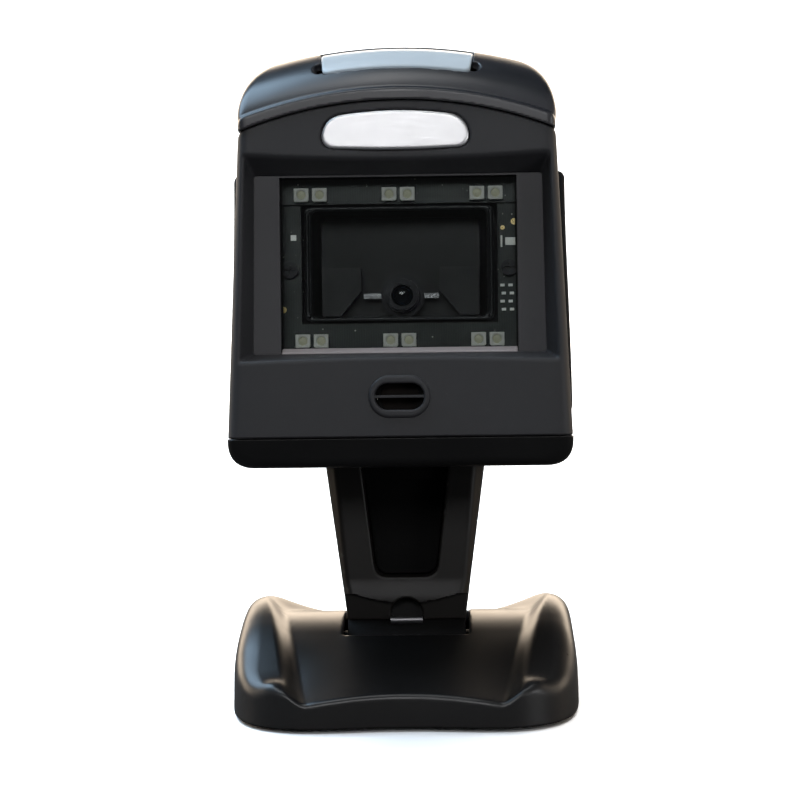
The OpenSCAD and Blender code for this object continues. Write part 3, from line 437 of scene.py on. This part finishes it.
# ------------------------------------------------------------------ carried-over parts
CARRIED = {
    "plate": ["base_plate"], "plate_steel": ["ballast_plate"], "feet": ["rubber_feet"],
    "steel": ["base_screws", "bracket_screws", "column_screws", "neck_screws", "housing_screws",
              "button_springs"],
    "brass": ["counter_inserts"], "bright": ["lens_clip"], "pin": ["cross_pin"],
    "dark_steel": ["axle_clips", "pivot_bracket", "tilt_axle"], "lens": ["carrier_screws", "lens_barrel"],
    "drum": ["foot_drum", "friction_washers"], "housing": ["column_cover"],
    # neck_tongue and beeper_can take the near-black painted shade of the recesses, not their plastic's own
    # colour.
    "inner": ["neck_tongue", "beeper_can"],
    "beeper": ["beeper_disc"], "black": ["button_switch", "interface_jack", "decoder_chips",
                                         "board_standoffs"],
    "shroud": ["window_shroud"], "glass": ["window_glass"], "gasket": ["window_gasket"],
    "pcb": ["led_board_upper", "led_board_lower", "carrier_board", "imager_board", "decoder_board",
            "button_board"],
    "smd": ["carrier_parts"], "gold": ["carrier_pads", "jack_contacts"],
    "baffle": ["imager_chassis"], "optic": ["lens_element"],
    "sensor": ["image_sensor"], "cream": ["board_link"], "led": ["button_leds"], "red": ["switch_plunger"],
}
BEVEL = {"base_plate": 0.3, "window_shroud": 0.18, "imager_chassis": 0.2, "foot_drum": 0.4,
         "column_cover": 0.35, "lens_barrel": 0.12, "interface_jack": 0.2, "ballast_plate": 0.25,
         "pivot_bracket": 0.2, "rubber_feet": 0.25,
         "carrier_parts": 0.06, "lens_clip": 0.08, "neck_tongue": 0.25, "cross_pin": 0.25}
for mat, names in CARRIED.items():
    for nm in names:
        ob = nodes[nm]
        ob.data.materials.clear()
        ob.data.materials.append(M[mat])
        if nm in BEVEL:
            bv = ob.modifiers.new("edge", "BEVEL")
            bv.width = BEVEL[nm] * MM
            bv.segments = 2
            bv.limit_method = "ANGLE"
            bv.angle_limit = math.radians(35)
            bv.harden_normals = False


# The clip's ring round the lens is dark, and its two strips are bright.
LENS_X, LENS_Z, RING_R = 0.5, 40.4, 5.2
clip = nodes["lens_clip"].data
clip.materials.append(M["lens"])
for p in clip.polygons:
    c = (np.array(nodes["lens_clip"].matrix_world @ p.center) / MM - PIVOT) @ TILT - HEAD
    p.material_index = int(math.hypot(c[0] - LENS_X, c[2] - LENS_Z) < RING_R)


def done(ob, body, slot, *replaced):
    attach(ob, body)
    if replaced:
        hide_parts(*replaced)
    return ob


# ------------------------------------------------------------------ foot shell
FA, FB, FP = 41.7, 43.0, 4.4
BR, BT, RAMP = 45.0, 19.3, 0.305


def plan(x, y):
    dent = np.where(np.abs(x) < 30, np.cos(np.pi * np.clip(x / 60, -0.5, 0.5)) ** 2, 0)
    dent = 2.4 * dent * step((-y - 8) / 26)
    u, v = np.abs(x) / FA, np.abs(y + 0.51 - dent) / FB
    u, v = np.maximum(u, 1e-4), np.maximum(v, 1e-4)
    q = (u ** FP + v ** FP) ** (1 / FP)
    g = q ** (1 - FP) * np.hypot(u ** (FP - 1) / FA, v ** (FP - 1) / FB)
    return (q - 1) / np.maximum(g, 1e-4)


def saddle(y):
    s = np.abs(y - 1.0)
    a = math.atan(RAMP)
    tx, tz = BR * math.sin(a), BT - BR + BR * math.cos(a)
    return np.where(s < tx, BT - BR + np.sqrt(np.maximum(BR ** 2 - s ** 2, 1)), tz - (s - tx) * RAMP)


def foot(x, y, z):
    ax = np.abs(x)
    inner = 29.3 + 0.165 * np.minimum(y, 0) - 0.034 * np.maximum(y - 3, 0) ** 2
    rise = step((ax - inner) / (5.6 + 0.1 * np.maximum(y, 0)))
    tall = 3.9 - 2.1 * step((-y - 14) / 24) - 3.9 * step((y - 10) / 20)
    crown = -1.9 * (np.minimum(ax, 26.5) / 25) ** 3 * step((-y - 14) / 26)
    knuckle = 0.9 * np.exp(-((ax - 30.4) / 2.6) ** 2 - ((y + 38.4) / 2.6) ** 2)
    top = (z - saddle(y) - tall * rise - knuckle - crown * (1 - 0.6 * rise)) * 0.94
    wall = plan(x, y) + 0.03 * np.clip(z - 1, 0, 30) + 1.1 * step((z - 9) / 14)
    side = step((ax - 29) / 7)
    k = 1.1 + 2.2 * side + 2.6 * side * step((y + 38) / 14)
    body = smax(top, wall, k)
    body = smax(body, 0.8 - z, 0.5)
    hollow = np.maximum(np.maximum(top, wall) + 2.2, -z)
    body = smax(body, -hollow, 0.4)
    slot = rbox(x, y, z, (-15.3, -13, 3), (15.3, 15, 40), 0.9)
    return smax(body, -slot, 0.6)


foot_ob = field_mesh("foot_shell", foot, (-43, -44, -0.6), (43, 43.6, 25), 0.6, M["foot"], world, 0.35)
done(foot_ob, "foot", "foot_plastic", "base_shell")


# ------------------------------------------------------------------ column
def column(x, y, z):
    ax = np.abs(x)
    hw = 14.4 + 5.3 * (z - 7.5) / 38.9
    lip_z = 14.4 - 2.2 * (1 - np.clip(x / 12.6, -1, 1) ** 2)
    flare = np.where(z > lip_z, 0.85 * step((18.4 - z) / 5.6), -1.1 - 0.14 * (lip_z - z))
    front = -y - 6.5 - flare
    side = (ax - hw) * 0.992
    cut = 1.0 + 1.4 * np.clip((z - 10) / 36, 0, 1)
    ch = ((ax - (hw - cut)) * 0.763 + (-y - 6.5) * 0.646)
    d = smax(smax(front, side, 0.5), ch, 0.7)
    d = smax(d, y - 3.3, 0.4)
    d = np.maximum(np.maximum(d, z - 46.4), 7.5 - z)
    half = 7.55 + 3.15 * (z - 19.6) / 26.8
    chan = smax(ax - half, 18.8 - z, 3.2)
    chan = np.maximum(chan, y - 1.5)
    d = smax(d, -chan, 0.8)
    notch = np.maximum(np.where(z > 9.6, np.hypot(x, z - 9.6), ax) - 3.9, y + 1.2)
    d = smax(d, -notch, 0.5)
    drum = 9.15 - np.hypot(y, z)
    return smax(d, drum, 0.4)


col = field_mesh("column_body", column, (-20.5, -8.4, 6.6), (20.5, 4.2, 47.2), 0.4, M["column"], stand, 0.45)
done(col, "head", "column_plastic", "column_shell")


# The channel's back is near-black: painted shade deep in the channel.
def channel_back(x, y, z):
    half = 7.45 + 3.15 * (z - 19.6) / 26.8
    return smax(smax(np.abs(x) - half, 18.9 - z, 3.2), np.maximum(np.abs(y - 0.7) - 0.7, z - 46), 0.3)


cb = field_mesh("channel_floor", channel_back, (-12, -0.8, 19), (12, 2.2, 47), 0.5, M["inner"], stand, 0.3)
done(cb, "head", "cover_plastic")

# ------------------------------------------------------------------ head shells
ARCH = -15.0  # height of the crown's centre
CROWN_R, CROWN_H = 99, 16  # the cap's springing radius and its rise
FRONT_RUN, BACK_RUN = 26.0, 34.0  # the dome's lengths before and behind its top
SIDE_TAPER = 0.0445
BACK_Y, BACK_R, BACK_Z = 53.0, 400, 42
PANEL_Z = 42.0
BEEPER_Z = 16.4
BAR_Y = 12.9
GRIP_Y, GRIP_Z = 30, 40.8


def half_w(z):
    return 40.3 - SIDE_TAPER * z


def arch(x, z):
    return np.hypot(x, z - ARCH)


def recess(x, y, z, grow=0.0):
    t = np.clip(y / 7.5, -0.2, 1.3)
    ux = np.clip(x / 36.0, -1, 1) ** 2
    hw = 36.95 - 0.034 * (z - 25) - (3.0 - 1.0 * np.clip((z - 25) / 47, 0, 1)) * t
    top = (71.1 + 1.4 * ux) * (1 - t) + 68.0 * t
    low = (25.6 - 0.8 * ux) * (1 - t) + 26.7 * t
    d = smax(np.abs(x) - hw, smax(z - top, low - z, 0.6), 0.8)
    return d - grow


def badge_plan(x, z, grow=0.0):
    hw, cz = 17.1 + grow, 77.4
    top = (z - (82.4 + grow)) + 1.6 * (np.clip(x / 17, -1.2, 1.2)) ** 2
    low = (73.3 - grow + 0.55 * np.clip(x / 17, -1.2, 1.2) ** 2) - z
    return smax(smax(np.abs(x + 0.3) - hw, top, 5.0), low, 3.0)


def bezel(x, y, z):
    side = (np.abs(x) - half_w(z)) * 0.999
    out2 = smax(smax(side, arch(x, z) - 99.68, 1.4), 7.12 - z, 0.5)
    d = smax(side, -y + 0.35 * np.clip((np.abs(x) - 30) / 9, 0, 1) ** 2, 3.0)
    d = smax(d, smax(side - 0.4, arch(x, z) - 99.72, 1.8), 0.5)
    d = smax(d, 7.08 - z, 0.3)
    d = np.maximum(d, y - 13.88)
    hollow = np.maximum(np.maximum(out2 + 1.7, 1.9 - y), -(smax(recess(x, y, z, 1.4), y - 7.5, 0.3)))
    d = smax(d, -hollow, 0.3)
    d = smax(d, -np.maximum(recess(x, y, z), y - 30), 0.9)
    d = smax(d, -np.maximum(badge_plan(x, z, 0.17), y - 0.55), 0.25)
    d = smax(d, -stadium(x, z, 0, BEEPER_Z, 6.7, 4.4), 0.3)
    return d


bz = field_mesh("bezel_front", bezel, (-40.8, -1, 6.4), (40.8, 14.6, 86), 0.45, M["bezel"], head, 0.4)
done(bz, "head", "bezel_plastic", "front_bezel")


def back_y(z):
    return BACK_Y - BACK_R + np.sqrt(BACK_R ** 2 - (z - BACK_Z) ** 2)


def panel_plan(x, z):
    return smax(np.abs(x) - 28.85, np.abs(z - PANEL_Z) - 25.85, 3.0)


def housing(x, y, z):
    ax = np.abs(x)
    side = (ax - (40.4 - SIDE_TAPER * z)) * 0.999
    out2 = smax(smax(side, -z, 6.6), arch(x, z) - 99.68, 1.4)
    back = y - back_y(z)
    edge = smax(out2, back, 7.0)
    lip = smax(edge, (0.3 + 0.42 * (7 - z) - y) * 0.92, 2.4)
    body = np.maximum(edge, 14.0 - y)
    low = np.maximum(lip, z - 6.98)
    d = np.minimum(body, low)
    inner = np.maximum(smax(out2, back, 5.0) + 1.9, 2.6 + 0.42 * np.clip(7 - z, 0, 7) - y)
    d = smax(d, -inner, 0.3)
    for sx in (-1, 1):
        for px, pz, r0 in ((33.0, 12.0, 47.8), (31.5, 72.0, 44.8)):
            rr = np.hypot(x - sx * px, z - pz)
            post = smax(rr - 3.6, np.maximum(r0 - 4 - y, back), 0.5)
            d = smax(smin(d, post, 0.5), -np.maximum(rr - 2.7, r0 - y), 0.5)
        rr = np.hypot(x - sx * 8, z - 7.0)
        d = smax(d, -np.maximum(rr - 2.8, 52.1 - y), 0.3)
    d = smax(d, -np.maximum(panel_plan(x, z) - 0.3, 45 - y), 0.5)
    for i in range(5):
        zz = 70.5 + 2.1 * i
        vent = rbox(x, y, z, (-15, 40, zz - 0.5), (15, 70, zz + 0.5), 0.45)
        d = smax(d, -np.maximum(vent, -(back + 1.3)), 0.3)
    pocket = smax(39.8 - SIDE_TAPER * z - ax, np.abs(y - GRIP_Y) - 13.3, 0.8)
    pocket = smax(pocket, np.abs(z - GRIP_Z) - 29.2, 0.8)
    return smax(d, -pocket, 0.4)


hs = field_mesh("housing_rear", housing, (-41, -0.6, -1), (41, 54, 87), 0.6, M["housing"], head, 0.3)
done(hs, "head", "housing_plastic", "rear_housing")


def panel(x, y, z):
    """Access panel: jack window, four screw seats and a shallow blank label recess."""
    back = y - back_y(z)
    d = smax(smax(panel_plan(x, z), back + 0.05, 0.9), -(back + 1.9), 0.2)
    d = smax(d, -rbox(x, y, z, (-5.9, 44, 18.7), (5.9, 60, 28.9), 0.6), 0.6)
    d = smax(d, -smax(rbox(x, y, z, (-18, 40, 35), (18, 70, 58), 3.0), -(back + 0.5), 0.3), 0.4)
    for pz in (22.0, 62.0):
        rr = np.hypot(np.abs(x) - 25, z - pz)
        d = smax(d, -np.maximum(rr - 2.5, 51.45 - y), 0.4)
    return d


pn = field_mesh("panel_rear", panel, (-30, 49, 15.5), (30, 53.6, 68.5), 0.4, M["housing"], head, 0.3)
done(pn, "head", "housing_plastic", "rear_panel")


RIB_PITCH = 3.4


def grips(x, y, z):
    ax = np.abs(x)
    w = 39.75 - SIDE_TAPER * z
    outer = ax - (40.6 - 1.25 * step((z - 12) / 56) - 0.4 * ((y - 26) / 17) ** 2)
    d = smax(smax(outer, np.abs(y - GRIP_Y) - 12.95, 1.4), np.abs(z - GRIP_Z) - 28.8, 2.2)
    ribs = 0.28 * np.clip(np.cos((z - 41) * 2 * math.pi / RIB_PITCH), 0, 1)
    ribs = ribs * step((12 - np.abs(y - GRIP_Y)) / 3) * step((24 - np.abs(z - 41)) / 3)
    d = d + ribs * 0.8
    return smax(d, w - 0.3 - ax, 0.3)


for sx, nm in ((-1, "grip_left"), (1, "grip_right")):
    lo = (36, 16.4, 11) if sx > 0 else (-41.5, 16.4, 11)
    hi = (41.5, 43.6, 71) if sx > 0 else (-36, 43.6, 71)
    g = field_mesh(nm, grips, lo, hi, 0.4, M["grip"], head, 0.5)
    done(g, "head", "grip_rubber", *(("side_grips",) if sx > 0 else ()))


def dome_d(x, y, z):
    """Signed distance to the cap's dome, an ellipse in y and in height over the springing radius."""
    a = np.where(y < FRONT_RUN, FRONT_RUN, BACK_RUN)
    u, v = (y - FRONT_RUN) / a, (arch(x, z) - CROWN_R) / CROWN_H
    q = np.maximum(np.hypot(u, v), 1e-3)
    return (q - 1) * q / np.maximum(np.hypot(u / a, v / CROWN_H), 1e-3)


def cap_side(x, z):
    ax = np.abs(x)
    return np.where(z > 81.5, np.hypot(np.maximum(ax - 15.8, 0), z - 81.5) - 21.2,
                    (ax - 37.0) * 0.99 - (z - 81.5) * 0.09)


def sector(x, z):
    """Signed distance past the button's end, measured along the arch."""
    return arch(x, z) * (np.abs(np.arctan2(x, z - ARCH)) - math.radians(9.15))


def cap(x, y, z):
    r = arch(x, z)
    shell = smax(dome_d(x, y, z), -(y - 0.3), 0.6)
    rim = smax(smax(r - 102.75, -0.5 - y, 0.8), y - 6, 0.3)
    d = smin(shell, rim, 0.7)
    d = smax(d, cap_side(x, z), 2.2)
    d = smax(d, 99.9 - r, 0.35)
    d = smax(d, y - back_y(z), 3.5)
    hollow = np.maximum(np.maximum(dome_d(x, y, z) + 2.1, cap_side(x, z) + 2.2), np.maximum(2.6 - y, y - 48))
    d = smax(d, -hollow, 0.4)
    well = smax(sector(x, z) - 0.14, np.abs(y - BAR_Y) - 8.6, 1.6)
    d = smax(d, -np.maximum(well, 101 - r), 0.35)
    a = math.radians(9.45)
    for sx in (-1, 1):
        nx, nz = sx * math.sin(a) * 109.6, ARCH + math.cos(a) * 109.6
        bite = np.sqrt((x - nx) ** 2 + (z - nz) ** 2 + ((y - 6.2) / 2.2) ** 2) - 1.6
        d = smax(d, -bite, 0.4)
    return d


cp = field_mesh("cap_top", cap, (-39, -1.2, 77), (39, 53.6, 101), 0.45, M["cap"], head, 0.45)
done(cp, "head", "cap_plastic", "top_cap")


def bar(x, y, z):
    dome = dome_d(x, y, z)
    d = smax(dome - 0.04 + 0.45 * step((y - 12) / 7), -(dome + 2.1), 0.5)
    d = smax(d, smax(sector(x, z) + 0.05, np.abs(y - BAR_Y) - 8.25, 1.8), 0.6)
    stem = rbox(x, y, z, (-2, 16.5, 93.4), (2, 20.5, 98), 0.3)
    return smin(d, stem, 0.4)


br = field_mesh("light_bar", bar, (-19.4, 3.8, 88), (19.4, 32, 101), 0.35, M["bar"], head, 0.5)
done(br, "button", "button_translucent", "top_button")


# ------------------------------------------------------------------ face trim
def badge(x, y, z):
    face = -0.35 - y + 0.25 * np.clip(x / 17, -1, 1) ** 2
    return smax(smax(badge_plan(x, z, 0.03), face, 0.8), y - 0.5, 0.2)


bg = field_mesh("plate_blank", badge, (-18.4, -1.2, 72.4), (18.4, 1.2, 83.4), 0.22, M["badge"], head, 0.4)
done(bg, "head", "badge_silver", "badge")


def beeper_seal(x, y, z):
    ring = np.maximum(stadium(x, z, 0, BEEPER_Z, 7.6, 5.7), 5.24 - np.hypot(x, z - BEEPER_Z))
    return np.maximum(ring, np.abs(y - 2.85) - 0.4)


bs = field_mesh("beeper_seal", beeper_seal, (-8.2, 2, 10.2), (8.2, 3.8, 22.6), 0.3, M["gasket"], head, 0.3)
done(bs, "head", "gasket_rubber")


def grille(x, y, z):
    ring = smax(stadium(x, z, 0, BEEPER_Z, 7.2, 5.0), -0.62 - y, 0.9)
    ring = np.maximum(ring, y - 2.4)
    plug = np.maximum(stadium(x, z, 0, BEEPER_Z, 6.6, 4.3), y - 2.4)
    d = np.minimum(np.maximum(ring, y - 0.05), np.maximum(plug, -y))
    hole = stadium(x, z, 0, BEEPER_Z, 5.7, 3.05)
    bar_d = np.maximum(np.abs(z - BEEPER_Z) - 0.33, -(y + 0.35))
    d = smax(d, -smax(hole, -bar_d, 0.25), 0.5)
    return d


gr = field_mesh("beeper_ring", grille, (-7.8, -1, 10.9), (7.8, 2.8, 21.9), 0.18, M["bezel"], head, 0.5)
done(gr, "head", "bezel_plastic", "beeper_grille")


def baffle(x, y, z):
    s = np.clip((y - 12.6) / 11.2, 0, 1)
    hx, lo, hi = 22.3 - 1.9 * s, 34.3 + 0.4 * s, 61.2 - 1.3 * s
    zc, hz = (lo + hi) / 2, (hi - lo) / 2
    out = smax(np.abs(x) - hx, np.abs(z - zc) - hz, 1.6)
    inn = smax(np.abs(x) - (hx - 1.5), np.abs(z - zc) - (hz - 0.8), 1.6)
    return smax(smax(out, -inn, 0.5), np.abs(y - 18.2) - 5.6, 0.4)


bf = field_mesh("baffle_box", baffle, (-23, 12, 33.4), (23, 24.4, 62.4), 0.3, M["rim"], head, 0.35)
bf.data.materials.append(M["baffle"])
done(bf, "head", "baffle_plastic", "imager_baffle")
# Faces deeper than the baffle's mouth take the darker colour: painted shade inside, painted light on the
# front.
deep_shaded_faces = [sum((bf.data.vertices[i].co - Vector(head(np.array([[0, 13.9, 48.0]]))[0] * MM))[j] * TILT[j][1]
                for i in p.vertices for j in range(3)) > 0 for p in bf.data.polygons]
bf.data.polygons.foreach_set("material_index", np.array(deep_shaded_faces, dtype=np.int32))


def led_one(x, y, z):
    body = rbox(x, y, z, (-1.75, -1.4, -1.6), (1.75, 0.6, 1.6), 0.14)
    r = np.hypot(x, z)
    cup = np.maximum(r - (1.22 - 0.5 * np.clip(y + 1.4, 0, 1)), y + 0.95)
    d = smax(body, -cup, 0.12)
    dome_led = np.sqrt(x ** 2 + z ** 2 + ((y + 0.55) * 1.7) ** 2) - 1.0
    d = smin(d, dome_led, 0.1)
    corner = (x - z) * 0.7071
    return smax(np.maximum(d, y), corner - 2.1, 0.1)


PAIRS, PITCH = (-20.8, -0.1, 20.6), 4.3
proto = field_mesh("led_proto", led_one, (-2, -1.7, -1.9), (2, 0.3, 1.9), 0.11, M["led"], world, 0.5)
pc = np.array([v.co[:] for v in proto.data.vertices]) / MM
pf = [tuple(p.vertices) for p in proto.data.polygons]
LENS_R = 1.02
inner_face = [float(np.hypot(pc[list(p), 0], pc[list(p), 2]).mean() < LENS_R
                    and pc[list(p), 1].mean() < -0.2) for p in pf]
for nm, zz, node in (("leds_top", 64.1, "leds_upper"), ("leds_bottom", 29.7, "leds_lower")):
    vs, fs, mi = [], [], []
    for j, (px, sgn) in enumerate([(a, b) for a in PAIRS for b in (-0.5, 0.5)]):
        base = len(vs)
        flip = -1 if j % 2 else 1
        q = pc * (flip, 1, 1) + (px + sgn * PITCH, 14.0, zz)
        vs += (head(q) * MM).tolist()
        fs += [tuple(base + i for i in (p if flip > 0 else p[::-1])) for p in pf]
        mi += inner_face
    me = bpy.data.meshes.new(nm)
    me.from_pydata(vs, [], fs)
    me.shade_smooth()
    me.materials.append(M["led"])
    me.materials.append(M["phosphor"])
    me.polygons.foreach_set("material_index", np.array(mi, dtype=np.int32))
    ob = bpy.data.objects.new(nm, me)
    bpy.context.scene.collection.objects.link(ob)
    done(ob, "head", "led_white", node)
bpy.data.objects.remove(proto)


def sill(x, y, z):
    slope = (z - 26.95) - (y - 7.2) * 0.55
    return smax(smax(np.abs(x) - 27.5, slope, 0.2), np.maximum(np.abs(y - 8.1) - 0.9, 26.3 - z), 0.15)


sl = field_mesh("window_sill", sill, (-28.4, 6.6, 25.6), (28.4, 9.6, 29), 0.25, M["sill"], head, 0.2)
done(sl, "head", "shroud_plastic")


# ------------------------------------------------------------------ stage, light and camera
# The floor and the world are pale to the camera and dim to every other ray.
def card(name, loc, at, size, power, colour):
    lamp = bpy.data.lights.new(name, "AREA")
    lamp.shape = "RECTANGLE"
    lamp.size, lamp.size_y = size
    lamp.energy = power
    lamp.color = colour
    o = bpy.data.objects.new(name, lamp)
    o.location = loc
    o.rotation_euler = (Vector(at) - Vector(loc)).to_track_quat("-Z", "Y").to_euler()
    o.visible_camera = False
    bpy.context.scene.collection.objects.link(o)
    return o


fm, ft, fb = node_mat("floor_pale")
fv = coords(ft, 1.0)
link(ft, mixed(ft, noise(ft, fv, 3.0, 3.0), (0.86, 0.86, 0.86), (0.9, 0.9, 0.9)), fb.inputs["Base Color"])
fb.inputs["Roughness"].default_value = 0.9
fb.inputs["Specular IOR Level"].default_value = 0.1
dim = ft.nodes.new("ShaderNodeBsdfDiffuse")
dim.inputs["Color"].default_value = (0.03, 0.03, 0.031, 1)
ray = ft.nodes.new("ShaderNodeLightPath")
pick = ft.nodes.new("ShaderNodeMixShader")
link(ft, ray.outputs["Is Camera Ray"], pick.inputs[0])
link(ft, dim.outputs[0], pick.inputs[1])
link(ft, fb.outputs[0], pick.inputs[2])
link(ft, pick.outputs[0], ft.nodes["Material Output"].inputs["Surface"])
pts = []
for i in range(25):
    a = i / 24
    if a < 0.4:
        pts.append((-4 + a / 0.4 * 5.0, 0.0))
    else:
        b = (a - 0.4) / 0.6 * math.pi / 2
        pts.append((1.0 + 1.6 * math.sin(b), 1.6 - 1.6 * math.cos(b)))
pts.append((2.6, 5.0))
vs = [(sx * 6, y, z) for y, z in pts for sx in (-1, 1)]
fs = [(2 * i, 2 * i + 1, 2 * i + 3, 2 * i + 2) for i in range(len(pts) - 1)]
me = bpy.data.meshes.new("floor_sweep")
me.from_pydata(vs, [], fs)
me.shade_smooth()
me.materials.append(fm)
floor = bpy.data.objects.new("floor_sweep", me)
bpy.context.scene.collection.objects.link(floor)

C = (0, -0.02, 0.08)
for nm, loc, at, size, power, colour in (
        ("sky_left", (-0.62, 0.22, 0.95), C, (0.8, 0.9), 15.0, (0.55, 0.77, 1.0)),
        ("sky_centre", (-0.08, -0.15, 1.1), C, (0.3, 0.5), 1.8, (1.0, 1.0, 1.0)),
        ("front_high", (-0.1, -1.2, 0.66), C, (0.7, 0.3), 4.0, (0.98, 0.98, 1.0)),
        ("front_right", (1.0, -0.8, 0.14), C, (0.5, 0.4), 3.0, (0.97, 0.98, 1.0)),
        ("warm_back", (-0.15, 1.0, 0.31), C, (2.2, 0.42), 13.0, (1.0, 0.82, 0.63)),
        ("warm_left", (-1.05, 0.3, 0.25), C, (0.5, 0.5), 2.6, (1.0, 0.82, 0.63)),
        ("warm_right", (1.05, 0.3, 0.25), C, (0.5, 0.5), 2.6, (1.0, 0.82, 0.63)),
        ("backdrop_wash", (0, 0.9, 2.2), (0, 2.2, 0.3), (3.0, 1.0), 150, (1, 1, 1)),
        ("floor_wash", (0, 0.6, 2.8), (0, 0.8, 0), (3.5, 2.4), 70, (1, 1, 1))):
    lit = card(nm, loc, at, size, power, colour)
    lit.visible_glossy = not nm.endswith("wash")

w = bpy.data.worlds.new("studio")
w.use_nodes = True
wt = w.node_tree
wt.nodes["Background"].inputs[0].default_value = (0.9, 0.92, 0.95, 1)
wt.nodes["Background"].inputs[1].default_value = 0.04
seen = wt.nodes.new("ShaderNodeBackground")
seen.inputs[0].default_value = (0.96, 0.96, 0.96, 1)
wray = wt.nodes.new("ShaderNodeLightPath")
wmix = wt.nodes.new("ShaderNodeMixShader")
link(wt, wray.outputs["Is Camera Ray"], wmix.inputs[0])
link(wt, wt.nodes["Background"].outputs[0], wmix.inputs[1])
link(wt, seen.outputs[0], wmix.inputs[2])
link(wt, wmix.outputs[0], wt.nodes["World Output"].inputs["Surface"])
bpy.context.scene.world = w

AZ, EL, ROLL, DIST = math.radians(1.6), math.radians(7.0), math.radians(0.9), 0.6
TARGET = Vector((0.0, -0.032, 0.0765))
fwd = Vector((-math.sin(AZ) * math.cos(EL), math.cos(AZ) * math.cos(EL), -math.sin(EL)))
right = Vector((math.cos(AZ), math.sin(AZ), 0))
up = right.cross(fwd)
r2 = right * math.cos(ROLL) - up * math.sin(ROLL)
u2 = right * math.sin(ROLL) + up * math.cos(ROLL)
cam = bpy.data.cameras.new("camera")
cam.lens = 116.4
cam.sensor_width = 36
cam.clip_start = 0.01
co = bpy.data.objects.new("camera", cam)
co.matrix_world = Matrix(((r2.x, u2.x, -fwd.x, 0), (r2.y, u2.y, -fwd.y, 0), (r2.z, u2.z, -fwd.z, 0),
                          (0, 0, 0, 1)))
co.location = TARGET - fwd * DIST
bpy.context.scene.collection.objects.link(co)
bpy.context.scene.camera = co
bpy.context.scene.view_settings.view_transform = "Standard"
